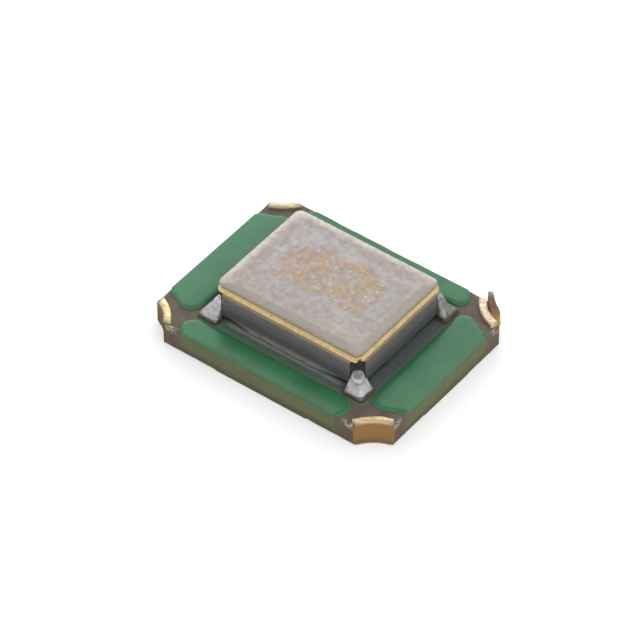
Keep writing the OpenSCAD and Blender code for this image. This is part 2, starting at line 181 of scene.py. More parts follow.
class Shell:
    """Collects surface patches, in millimetres, and makes them one mesh."""

    def __init__(self) -> None:
        """Starts with nothing in it."""
        self.points: list[Array] = []
        self.quads: list[Array] = []
        self.rings: list[list[int]] = []
        self.marks: list[Array] = []
        self.count = 0

    def add_points(self, points: Array, mark: Array | float = 0.0) -> Array:
        """Adds points with a number each between 0 and 1, for a material to read, and returns their indices."""
        flat = np.asarray(points, float).reshape(-1, 3)
        self.points.append(flat)
        self.marks.append(np.broadcast_to(np.asarray(mark, float), np.shape(points)[:-1]).reshape(-1))
        index = np.arange(self.count, self.count + len(flat)).reshape(np.shape(points)[:-1])
        self.count += len(flat)
        return index

    def grid(self, points: Array, round_u: bool = True, round_v: bool = False,
             mark: Array | float = 0.0) -> Array:
        """Adds a grid of quads.

        Args:
            points: n by m by 3 array.
            round_u: joins the last row to the first.
            round_v: joins the last column to the first.
            mark: a number for each point, which the materials read as "mark".

        Returns:
            The n by m indices of the points.
        """
        index = self.add_points(points, mark)
        a = np.concatenate([index, index[:1]], 0) if round_u else index
        a = np.concatenate([a, a[:, :1]], 1) if round_v else a
        self.quads.append(np.stack([a[:-1, :-1], a[1:, :-1], a[1:, 1:], a[:-1, 1:]], -1).reshape(-1, 4))
        return index

    def cap(self, ring: Array) -> None:
        """Closes a ring of point indices with one flat face."""
        self.rings.append([int(i) for i in ring])

    def solid_sweep(self, outline: Array, profile: Array, shift: Array | None = None,
                    mark: Array | float = 0.0) -> Array:
        """Sweeps an open profile round an outline and closes both ends with flat faces."""
        index = self.grid(sweep(outline, profile, shift), mark=mark)
        self.cap(index[:, 0])
        self.cap(index[:, -1])
        return index

    def block(self, low: tuple[float, float, float], high: tuple[float, float, float],
              edge: float = 0.001) -> None:
        """Adds a block with broken edges: a rectangle swept with a small bevel at foot and head."""
        length, width, height = (high[i] - low[i] for i in range(3))
        edge = min(edge, 0.3 * min(length, width, height))
        plan = rounded_rectangle(length, width, edge, 2)
        plan += [(high[0] + low[0]) / 2, (high[1] + low[1]) / 2]
        self.solid_sweep(plan, np.array([[edge, low[2]], [0, low[2] + edge], [0, high[2] - edge],
                                         [edge, high[2]]]))

    def piece(self, name: str, material: bpy.types.Material, nodes: tuple[str, ...],
              angle: float = 35.0, smooth: bool = True) -> bpy.types.Object:
        """Makes the mesh, gives it its material and hands it to the frame.

        Args:
            name: name of the piece.
            material: its material.
            nodes: the CAD nodes that it stands for.
            angle: edges sharper than this many degrees stay sharp.
            smooth: whether faces are shaded smooth at all.

        Returns:
            The new object, riding on the part's one body.
        """
        points = np.concatenate(self.points) * MM
        quads = np.concatenate(self.quads) if self.quads else np.zeros((0, 4), int)
        mesh = bpy.data.meshes.new(name)
        mesh.from_pydata(points.tolist(), [], quads.tolist() + self.rings)
        mark = mesh.attributes.new("mark", "FLOAT", "POINT")
        mark.data.foreach_set("value", np.concatenate(self.marks).astype(np.float32))
        work = bmesh.new()
        work.from_mesh(mesh)
        bmesh.ops.remove_doubles(work, verts=work.verts, dist=MERGE)
        bmesh.ops.dissolve_degenerate(work, dist=MERGE, edges=work.edges)
        bmesh.ops.recalc_face_normals(work, faces=work.faces)
        work.to_mesh(mesh)
        work.free()
        mesh.polygons.foreach_set("use_smooth", np.full(len(mesh.polygons), smooth))
        mesh.set_sharp_from_angle(angle=math.radians(angle))
        mesh.materials.append(material)
        made = bpy.data.objects.new(name, mesh)
        bpy.context.scene.collection.objects.link(made)
        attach(made, "root")
        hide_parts(*nodes)
        LOG.info("%s: %d faces", name, len(mesh.polygons))
        return made


# ---------------------------------------------------------------------------
# Finishes
# ---------------------------------------------------------------------------


class Blend(Enum):
    """How two colours are mixed."""

    MIX = "MIX"
    MULTIPLY = "MULTIPLY"
    ADD = "ADD"


class Graph:
    """Short calls for one material's nodes. Patterns are sized in millimetres."""

    def __init__(self, name: str) -> None:
        """Starts a material with its shader and with Object coordinates in millimetres."""
        self.material = bpy.data.materials.new(name)
        self.material.use_nodes = True
        self.tree = self.material.node_tree
        self.shader = self.tree.nodes["Principled BSDF"]
        place = self.tree.nodes.new("ShaderNodeTexCoord")
        self.mm = self.turned(place.outputs["Object"], (1 / MM, 1 / MM, 1 / MM))

    def set(self, **values: float | tuple) -> None:
        """Sets the shader's own sockets; an underscore stands for a space."""
        for name, value in values.items():
            self.shader.inputs[name.replace("_", " ")].default_value = value

    def link(self, source: bpy.types.NodeSocket, name: str) -> None:
        """Links a value to one of the shader's sockets."""
        self.tree.links.new(source, self.shader.inputs[name])

    def turned(self, vector: bpy.types.NodeSocket, scale: tuple, turn: tuple = (0, 0, 0),
               shift: tuple = (0, 0, 0)) -> bpy.types.NodeSocket:
        """A vector stretched, turned in degrees and moved."""
        node = self.tree.nodes.new("ShaderNodeMapping")
        node.inputs["Scale"].default_value = scale
        node.inputs["Rotation"].default_value = [math.radians(a) for a in turn]
        node.inputs["Location"].default_value = shift
        self.tree.links.new(vector, node.inputs["Vector"])
        return node.outputs["Vector"]

    def axis(self, name: str) -> bpy.types.NodeSocket:
        """X, Y or Z of the point, in millimetres."""
        node = self.tree.nodes.new("ShaderNodeSeparateXYZ")
        self.tree.links.new(self.mm, node.inputs[0])
        return node.outputs[name]

    def noise(self, size: float, detail: float = 4.0, rough: float = 0.55, stretch: tuple = (1, 1, 1),
              warp: float = 0.0) -> bpy.types.NodeSocket:
        """Fractal noise whose blots are about size across; stretch draws them out along an axis."""
        node = self.tree.nodes.new("ShaderNodeTexNoise")
        node.inputs["Scale"].default_value = 1 / size
        node.inputs["Detail"].default_value = detail
        node.inputs["Roughness"].default_value = rough
        node.inputs["Distortion"].default_value = warp
        vector = self.turned(self.mm, tuple(1 / s for s in stretch)) if stretch != (1, 1, 1) else self.mm
        self.tree.links.new(vector, node.inputs["Vector"])
        return node.outputs["Fac"]

    def cells(self, size: float, stretch: tuple = (1, 1, 1)) -> bpy.types.NodeSocket:
        """Distance to the nearest of a scatter of points about size apart."""
        node = self.tree.nodes.new("ShaderNodeTexVoronoi")
        node.inputs["Scale"].default_value = 1 / size
        vector = self.turned(self.mm, tuple(1 / s for s in stretch)) if stretch != (1, 1, 1) else self.mm
        self.tree.links.new(vector, node.inputs["Vector"])
        return node.outputs["Distance"]

    def waves(self, pitch: float, direction: str, warp: float = 0.0) -> bpy.types.NodeSocket:
        """Parallel sine bands with this pitch across an axis."""
        node = self.tree.nodes.new("ShaderNodeTexWave")
        node.bands_direction = direction
        node.inputs["Scale"].default_value = 0.314 / pitch
        node.inputs["Distortion"].default_value = warp
        node.inputs["Detail Scale"].default_value = 3.0
        self.tree.links.new(self.mm, node.inputs["Vector"])
        return node.outputs["Fac"]

    def mark(self) -> bpy.types.NodeSocket:
        """The number that the mesh carries at each point."""
        node = self.tree.nodes.new("ShaderNodeAttribute")
        node.attribute_name = "mark"
        return node.outputs["Fac"]

    def math(self, kind: str, a: bpy.types.NodeSocket | float, b: bpy.types.NodeSocket | float = 0.0,
             clamp: bool = False) -> bpy.types.NodeSocket:
        """One step of arithmetic on values."""
        node = self.tree.nodes.new("ShaderNodeMath")
        node.operation = kind
        node.use_clamp = clamp
        for socket, value in zip(node.inputs, (a, b)):
            if isinstance(value, bpy.types.NodeSocket):
                self.tree.links.new(value, socket)
            else:
                socket.default_value = value
        return node.outputs[0]

    def span(self, value: bpy.types.NodeSocket, low: float, high: float, to_low: float = 0.0,
             to_high: float = 1.0, smooth: bool = True) -> bpy.types.NodeSocket:
        """Turns low..high of a value into to_low..to_high and stops there."""
        node = self.tree.nodes.new("ShaderNodeMapRange")
        node.interpolation_type = "SMOOTHSTEP" if smooth else "LINEAR"
        for name, number in zip(("From Min", "From Max", "To Min", "To Max"), (low, high, to_low, to_high)):
            node.inputs[name].default_value = number
        self.tree.links.new(value, node.inputs["Value"])
        return node.outputs["Result"]

    def mix(self, share: bpy.types.NodeSocket | float, first: bpy.types.NodeSocket | Colour,
            second: bpy.types.NodeSocket | Colour, blend: Blend = Blend.MIX) -> bpy.types.NodeSocket:
        """Mixes two colours."""
        node = self.tree.nodes.new("ShaderNodeMix")
        node.data_type = "RGBA"
        node.blend_type = blend.value
        for socket, value in zip((node.inputs[0], node.inputs[6], node.inputs[7]), (share, first, second)):
            if isinstance(value, bpy.types.NodeSocket):
                self.tree.links.new(value, socket)
            elif isinstance(value, tuple):
                socket.default_value = (*value, 1.0)
            else:
                socket.default_value = value
        return node.outputs[2]

    def bump(self, height: bpy.types.NodeSocket, depth: float, strength: float = 1.0) -> None:
        """Raises the surface's shading by up to depth millimetres, on top of any bump before it."""
        node = self.tree.nodes.new("ShaderNodeBump")
        node.inputs["Distance"].default_value = depth * MM
        node.inputs["Strength"].default_value = strength
        self.tree.links.new(height, node.inputs["Height"])
        before = self.shader.inputs["Normal"]
        if before.is_linked:
            self.tree.links.new(before.links[0].from_socket, node.inputs["Normal"])
        self.tree.links.new(node.outputs["Normal"], before)


@dataclass(frozen=True)
class MaskFinish:
    """Glossy green solder mask: fine grain, cloudier where it is thick, a thin milky rim and a painted sheen
    towards -X.
    """

    green: Colour = (0.045, 0.235, 0.095)
    thick: Colour = (0.035, 0.19, 0.078)
    light: Colour = (0.07, 0.32, 0.15)
    rim: Colour = (0.24, 0.26, 0.22)
    roughness: float = 0.2

    def make(self, name: str) -> bpy.types.Material:
        """Builds the material; mark is 1 on the rims of the film."""
        g = Graph(name)
        cloud = g.noise(0.35, 3)
        fine = g.noise(0.018, 3, 0.7)
        colour = g.mix(g.span(cloud, 0.35, 0.65), self.thick, self.green)
        # painted sheen: the strip on the -X side is mixed towards the pale green, standing in for the reflection of
        # the bright surroundings
        colour = g.mix(g.span(g.axis("X"), -1.15, -1.6, 0.0, 0.55), colour, self.light)
        # painted shade: the back half of the +X strip, beside the package, is mixed towards the darker green
        right = g.math("MULTIPLY", g.span(g.axis("X"), 1.05, 1.2), g.span(g.axis("Y"), -0.2, 0.7, 0.0, 0.8))
        colour = g.mix(right, colour, self.thick)
        colour = g.mix(g.span(fine, 0.35, 0.7, 0.0, 0.3), colour, self.light)
        colour = g.mix(g.math("MULTIPLY", g.mark(), g.span(fine, 0.25, 0.6, 0.15, 0.6)), colour, self.rim)
        g.link(colour, "Base Color")
        g.link(g.span(fine, 0.3, 0.7, self.roughness - 0.04, self.roughness + 0.08), "Roughness")
        g.set(IOR=1.5, Specular_IOR_Level=0.36)
        g.bump(g.noise(0.16, 2), 0.0012)
        g.bump(fine, 0.0006)
        return g.material


@dataclass(frozen=True)
class LaminateFinish:
    """Glass and epoxy board: brown and faintly woven on top, and sawn in greenish bands on its sides."""

    window: Colour = (0.13, 0.16, 0.145)
    channel: Colour = (0.205, 0.165, 0.122)
    residue: Colour = (0.34, 0.34, 0.32)
    stained: Colour = (0.11, 0.25, 0.135)
    upper: Colour = (0.108, 0.205, 0.082)
    middle: Colour = (0.163, 0.187, 0.078)
    lower: Colour = (0.093, 0.098, 0.044)
    glass: Colour = (0.26, 0.25, 0.16)
    corner: Colour = (0.14, 0.098, 0.066)
    red: Colour = (0.28, 0.11, 0.07)
    chipped: Colour = (0.56, 0.53, 0.44)

    def make(self, name: str) -> bpy.types.Material:
        """Builds the material; mark rises from 0 to 1 towards the plated corners."""
        g = Graph(name)
        weave = g.math("MULTIPLY", g.waves(0.11, "X", 1.5), g.waves(0.09, "Y", 1.5))
        blot = g.noise(0.12, 4, 0.6)
        plies = g.noise(0.05, 3, 0.6, (7, 7, 0.6))
        ends = g.cells(0.016, (1, 1, 1.4))
        x = g.math("ABSOLUTE", g.axis("X"))
        y = g.math("ABSOLUTE", g.axis("Y"))
        under = g.math("MULTIPLY", g.span(x, 1.12, 1.2, 1.0, 0.0), g.span(y, 0.9, 0.97, 1.0, 0.0))
        face = g.mix(under, self.channel, self.window)
        face = g.mix(g.span(blot, 0.35, 0.7, 0.0, 0.5), face, (0.095, 0.085, 0.07))
        front = g.math("MULTIPLY", g.span(x, 0.7, 0.86, 1.0, 0.0), g.span(g.axis("Y"), -0.74, -0.8))
        foot = g.math("MULTIPLY", front, g.span(g.axis("Y"), -0.85, -0.81))
        face = g.mix(g.math("MULTIPLY", foot, g.span(blot, 0.3, 0.6, 0.5, 1.0)), face, self.residue)
        edge = g.math("MAXIMUM", g.span(g.axis("Y"), -0.84, -0.92), g.span(g.axis("X"), 1.1, 1.17, 0.0, 0.6))
        edge = g.math("MULTIPLY", edge, under)
        face = g.mix(g.math("MULTIPLY", edge, 0.8), face, self.stained)
        face = g.mix(g.span(weave, 0.2, 0.8, 0.0, 0.12), face, (0.22, 0.2, 0.17))
        height = g.axis("Z")
        side = g.mix(g.span(height, 0.03, 0.13), self.lower, self.middle)
        side = g.mix(g.span(height, 0.16, 0.26), side, self.upper)
        side = g.mix(g.span(plies, 0.4, 0.65, 0.0, 0.35), side, (0.1, 0.07, 0.035))
        side = g.mix(g.span(ends, 0.2, 0.5, 0.3, 0.0), side, self.glass)
        left = g.math("MULTIPLY", g.span(g.axis("X"), -1.2, -1.5, 0.0, 0.8), g.span(g.axis("Y"), 0.0, -0.5))
        worn = g.mix(left, self.corner, self.red)
        side = g.mix(g.span(g.mark(), 0.15, 0.7), side, worn)
        side = g.mix(g.span(g.noise(0.2, 3), 0.55, 0.7, 0.0, 0.4), side, self.corner)
        colour = g.mix(g.span(height, 0.2985, 0.2995, smooth=False), side, face)
        chip = g.math("MULTIPLY", g.span(g.mark(), 0.5, 0.8), g.span(height, 0.2, 0.27))
        chip = g.math("MULTIPLY", chip, g.span(g.math("SUBTRACT", g.axis("Y"), g.axis("X")), 1.2, 1.8, 1.0, 0.0))
        colour = g.mix(g.math("MULTIPLY", chip, g.span(g.noise(0.035, 4, 0.7), 0.42, 0.56)), colour, self.chipped)
        g.link(colour, "Base Color")
        g.set(Roughness=0.6, IOR=1.5, Specular_IOR_Level=0.3)
        g.bump(weave, 0.001)
        g.bump(ends, 0.0025)
        return g.material


@dataclass(frozen=True)
class GoldFinish:
    """Gold over nickel and copper: pale and satin where flat, dull and browner down a drilled wall, with painted
    shade on the -X walls.
    """

    gold: Colour = (0.86, 0.68, 0.39)
    worn: Colour = (0.78, 0.56, 0.36)
    wall: Colour = (0.31, 0.185, 0.066)
    darker_bottom: Colour = (0.2, 0.145, 0.085)
    olive: Colour = (0.09, 0.07, 0.02)
    pale: Colour = (0.74, 0.62, 0.46)
    roughness: float = 0.42

    def make(self, name: str) -> bpy.types.Material:
        """Builds the material; mark goes from 0 on the flat to 1 down the wall."""
        g = Graph(name)
        stain = g.noise(0.07, 4, 0.6)
        pits = g.noise(0.014, 3, 0.7)
        colour = g.mix(g.span(stain, 0.5, 0.75, 0.0, 0.6), self.gold, self.worn)
        colour = g.mix(g.span(g.axis("Y"), 0.4, 0.8, 0.0, 0.85), colour, self.pale)
        dark = g.mix(g.span(stain, 0.35, 0.65), self.wall, (0.33, 0.2, 0.085))
        # the wall gets darker towards its bottom
        dark = g.mix(g.span(g.axis("Z"), 0.12, 0.03), dark, self.darker_bottom)
        # painted shade: walls on the -X side, which face away from the light, are mixed towards a dark olive
        dark = g.mix(g.span(g.axis("X"), -1.2, -1.35, 0.0, 0.85), dark, self.olive)
        colour = g.mix(g.mark(), colour, dark)
        colour = g.mix(g.span(pits, 0.3, 0.45, 0.35, 0.0), colour, (0.3, 0.19, 0.1))
        g.link(colour, "Base Color")
        g.link(g.math("ADD", g.math("MULTIPLY", g.mark(), 0.12),
                      g.span(stain, 0.3, 0.7, self.roughness - 0.05, self.roughness + 0.08)), "Roughness")
        g.set(Metallic=1.0)
        g.bump(pits, 0.0015)
        g.bump(stain, 0.004, 0.7)
        return g.material


@dataclass(frozen=True)
class CopperFinish:
    """Torn plating: bare brown copper that fades to a pale tip and keeps gold at its foot."""

    copper: Colour = (0.3, 0.185, 0.12)
    tip: Colour = (0.6, 0.53, 0.47)
    gold: Colour = (0.55, 0.35, 0.09)

    def make(self, name: str) -> bpy.types.Material:
        """Builds the material; mark is the share of the way from foot to tip."""
        g = Graph(name)
        drag = g.noise(0.02, 3, 0.6, (1, 1, 3))
        colour = g.mix(g.span(g.mark(), 0.3, 0.55), self.gold, self.copper)
        colour = g.mix(g.span(g.mark(), 0.82, 1.0), colour, self.tip)
        colour = g.mix(g.span(drag, 0.4, 0.7, 0.0, 0.4), colour, (0.2, 0.11, 0.07))
        g.link(colour, "Base Color")
        g.set(Metallic=0.8, Roughness=0.55)
        g.bump(drag, 0.003)
        return g.material


@dataclass(frozen=True)
class RingFinish:
    """Gold plated seal ring: a bright mottled band, and a dull olive line where it is welded."""

    gold: Colour = (0.68, 0.545, 0.3)
    amber: Colour = (0.56, 0.38, 0.17)
    weld: Colour = (0.23, 0.19, 0.1)
    gap: Colour = (0.1, 0.08, 0.05)

    def make(self, name: str) -> bpy.types.Material:
        """Builds the material; mark is 0.3 at the foot, 0.8 at the weld and 1 where the front corner is dented; the
        dent is painted near black as shade.
        """
        g = Graph(name)
        blot = g.noise(0.05, 4, 0.65)
        colour = g.mix(g.span(blot, 0.42, 0.7, 0.0, 0.7), self.gold, self.amber)
        colour = g.mix(g.span(g.mark(), 0.1, 0.5, 0.0, 0.8), colour, self.amber)
        colour = g.mix(g.span(g.mark(), 0.45, 0.8), colour, self.weld)
        # painted shade: the dent at the front corner is mixed to near black
        colour = g.mix(g.span(g.mark(), 0.88, 0.98), colour, self.gap)
        g.link(colour, "Base Color")
        g.link(g.span(blot, 0.3, 0.7, 0.3, 0.48), "Roughness")
        g.set(Metallic=1.0)
        g.bump(g.noise(0.02, 3, 0.6), 0.0016)
        return g.material


@dataclass(frozen=True)
class SolderFinish:
    """Reflowed solder: bright where it is thick, frosted by tin grains, dull and pinkish where thin, and painted
    darker as shade where a lump drops.
    """

    bright: Colour = (0.7, 0.685, 0.68)
    frost: Colour = (0.57, 0.555, 0.55)
    thin: Colour = (0.3, 0.25, 0.23)

    def make(self, name: str) -> bpy.types.Material:
        """Builds the material; mark is 1 on the thin layer round the fillet, and up to 0.7 as painted shade round a
        lump's drop.
        """
        g = Graph(name)
        grains = g.cells(0.035)
        cloud = g.noise(0.05, 4, 0.6)
        colour = g.mix(g.span(cloud, 0.42, 0.7, 0.0, 0.9), self.bright, self.frost)
        g.link(g.mix(g.mark(), colour, self.thin), "Base Color")
        g.link(g.span(cloud, 0.3, 0.7, 0.36, 0.54), "Roughness")
        g.set(Metallic=1.0)
        g.bump(grains, 0.0022)
        g.bump(cloud, 0.004)
        return g.material


@dataclass(frozen=True)
class CeramicFinish:
    """Dark co-fired alumina: matte, in layers, greyer towards the top as painted light from above, with a pale
    rough break at its foot.
    """

    low: Colour = (0.106, 0.11, 0.105)
    high: Colour = (0.188, 0.177, 0.18)
    violet: Colour = (0.125, 0.1, 0.15)
    dark: Colour = (0.055, 0.055, 0.055)
    stained: Colour = (0.44, 0.32, 0.16)
    broken: Colour = (0.34, 0.335, 0.325)

    def make(self, name: str) -> bpy.types.Material:
        """Builds the material; mark is 1 on the ragged break. The braze stains the upper edge, and the warm band
        there is also a painted reflection of the ring's gold.
        """
        g = Graph(name)
        fine = g.noise(0.02, 3, 0.7)
        layers = g.noise(0.035, 3, 0.5, (10, 10, 1))
        # painted light: the body goes from the dark low colour at the foot to the lighter high colour near the top,
        # as if lit from above
        colour = g.mix(g.span(g.axis("Z"), 0.42, 0.57), self.low, self.high)
        colour = g.mix(g.span(g.noise(0.09, 3), 0.5, 0.68, 0.0, 0.6), colour, self.violet)
        colour = g.mix(g.span(layers, 0.5, 0.7, 0.0, 0.35), colour, self.dark)
        colour = g.mix(g.span(fine, 0.45, 0.7, 0.0, 0.4), colour, self.dark)
        # partly braze stain, partly painted reflection of the gold ring above
        colour = g.mix(g.span(g.axis("Z"), 0.615, 0.672, 0.0, 0.9), colour, self.stained)
        colour = g.mix(g.math("MULTIPLY", g.mark(), g.span(fine, 0.3, 0.6, 0.6, 1.0)), colour, self.broken)
        g.link(colour, "Base Color")
        g.link(g.span(fine, 0.3, 0.7, 0.5, 0.66), "Roughness")
        g.set(IOR=1.6, Specular_IOR_Level=0.5)
        g.bump(fine, 0.0012)
        g.bump(layers, 0.0015)
        return g.material


@dataclass(frozen=True)
class LidFinish:
    """Satin nickel lid with the heat tints of a laser field: a pale bluish outline round warm blots."""

    nickel: Colour = (0.405, 0.36, 0.335)
    rim: Colour = (0.54, 0.495, 0.44)
    weld: Colour = (0.45, 0.38, 0.26)
    border: Colour = (0.36, 0.31, 0.295)
    halo: Colour = (0.4, 0.4, 0.41)
    warm: Colour = (0.395, 0.315, 0.25)
    orange: Colour = (0.47, 0.285, 0.18)
    straw: Colour = (0.41, 0.335, 0.2)
    violet: Colour = (0.33, 0.26, 0.31)
    spark: Colour = (0.56, 0.51, 0.42)
    field: tuple[float, float, float, float] = (0.01, 0.07, 0.66, 0.37)

    def beyond(self, g: Graph, x: bpy.types.NodeSocket, y: bpy.types.NodeSocket,
               box: tuple[float, float, float, float]) -> bpy.types.NodeSocket:
        """How far a point lies outside a rectangle, given as centre and half sizes; less than 0 inside."""
        out_x = g.math("SUBTRACT", g.math("ABSOLUTE", g.math("SUBTRACT", x, box[0])), box[2])
        out_y = g.math("SUBTRACT", g.math("ABSOLUTE", g.math("SUBTRACT", y, box[1])), box[3])
        return g.math("MAXIMUM", out_x, out_y)

    def make(self, name: str) -> bpy.types.Material:
        """Builds the material; mark is 0.6 on the lid's slope and 1 on its welded edge."""
        g = Graph(name)
        x, y = g.axis("X"), g.axis("Y")
        drawn = g.noise(0.02, 4, 0.65, (6, 1, 1))
        blot = g.noise(0.12, 2.5, 0.5, (1, 1.9, 1), 0.3)
        wander = g.span(g.noise(0.25, 2), 0.3, 0.7, -0.07, 0.07, smooth=False)
        out = g.math("ADD", self.beyond(g, x, y, self.field), wander)
        colour = g.mix(g.span(g.noise(0.4, 3), 0.35, 0.65, 0.0, 0.5), self.nickel, self.border)
        frame = self.beyond(g, x, y, (0.0, 0.0, 0.78, 0.56))
        colour = g.mix(g.span(frame, -0.02, 0.06, 0.0, 0.5), colour, self.border)
        patch = g.math("ADD", g.math("ABSOLUTE", g.math("SUBTRACT", x, 0.55)),
                       g.math("ABSOLUTE", g.math("ADD", y, 0.54)))
        colour = g.mix(g.span(patch, 0.0, 0.42, 0.6, 0.0), colour, (0.47, 0.425, 0.4))
        ring = g.math("MULTIPLY", g.span(out, -0.09, 0.01), g.span(out, 0.02, 0.12, 1.0, 0.0))
        colour = g.mix(g.math("MULTIPLY", ring, g.span(blot, 0.3, 0.6, 1.0, 0.5)), colour, self.halo)
        inside = g.span(out, -0.11, 0.04, 1.0, 0.0)
        tint = g.mix(g.span(blot, 0.48, 0.66, 0.0, 0.75), self.warm, self.orange)
        tint = g.mix(g.span(g.noise(0.15, 2.5, 0.5, (1, 2.1, 1)), 0.48, 0.64, 0.0, 0.85), tint, self.straw)
        tint = g.mix(g.span(g.noise(0.17, 2.5, 0.5), 0.53, 0.7, 0.0, 0.7), tint, self.violet)
        tint = g.mix(g.span(g.noise(0.1, 3, 0.55, (1, 1.4, 1)), 0.5, 0.64, 0.0, 0.85), tint, self.halo)
        colour = g.mix(g.math("MULTIPLY", inside, 0.8), colour, tint)
        spark = g.span(g.cells(0.1), 0.05, 0.24, 0.9, 0.0)
        colour = g.mix(g.math("MULTIPLY", inside, spark), colour, self.spark)
        colour = g.mix(g.span(g.mark(), 0.0, 0.6, 0.0, 0.9), colour, self.rim)
        colour = g.mix(g.span(g.mark(), 0.7, 0.95), colour, self.weld)
        colour = g.mix(g.span(g.cells(0.045), 0.05, 0.12, 0.3, 0.0), colour, (0.52, 0.49, 0.46))
        colour = g.mix(g.span(drawn, 0.3, 0.46, 0.25, 0.0), colour, (0.26, 0.22, 0.2))
        g.link(colour, "Base Color")
        g.link(g.span(g.noise(0.06, 4, 0.7), 0.3, 0.7, 0.4, 0.56), "Roughness")
        g.set(Metallic=0.9)
        g.bump(drawn, 0.0008)
        g.bump(g.math("MULTIPLY", inside, blot), 0.004)
        g.bump(g.noise(0.25, 3), 0.004)
        return g.material


@dataclass(frozen=True)
class PlainMetalFinish:
    """Metal of the hidden pieces: one tint with a finer, darker grain."""

    tint: Colour
    shade: Colour
    roughness: float = 0.4
    metallic: float = 1.0
    grain_size: float = 0.03

    def make(self, name: str) -> bpy.types.Material:
        """Builds the material."""
        g = Graph(name)
        fine = g.noise(self.grain_size, 4, 0.6)
        g.link(g.mix(g.span(fine, 0.35, 0.7), self.tint, self.shade), "Base Color")
        g.link(g.span(fine, 0.3, 0.7, self.roughness - 0.06, self.roughness + 0.1), "Roughness")
        g.set(Metallic=self.metallic)
        g.bump(fine, 0.0012)
        return g.material


@dataclass(frozen=True)
class QuartzFinish:
    """Polished quartz, faintly clouded by its lapped edges."""

    tint: Colour = (0.93, 0.95, 0.97)

    def make(self, name: str) -> bpy.types.Material:
        """Builds the material."""
        g = Graph(name)
        lapped = g.noise(0.05, 4)
        g.link(g.mix(g.span(lapped, 0.4, 0.8), self.tint, (0.85, 0.88, 0.9)), "Base Color")
        g.link(g.span(lapped, 0.4, 0.8, 0.03, 0.2), "Roughness")
        g.set(IOR=1.54, Transmission_Weight=0.9)
        return g.material


# ---------------------------------------------------------------------------
# Sub-assemblies
# ---------------------------------------------------------------------------

SIGNS = {1: (-1, -1), 2: (1, -1), 3: (1, 1), 4: (-1, 1)}


def in_corner(points: Array, k: int) -> Array:
    """Mirrors plan or space points made for corner 3 into corner k."""
    sign = np.ones(points.shape[-1])
    sign[:2] = SIGNS[k]
    return points * sign


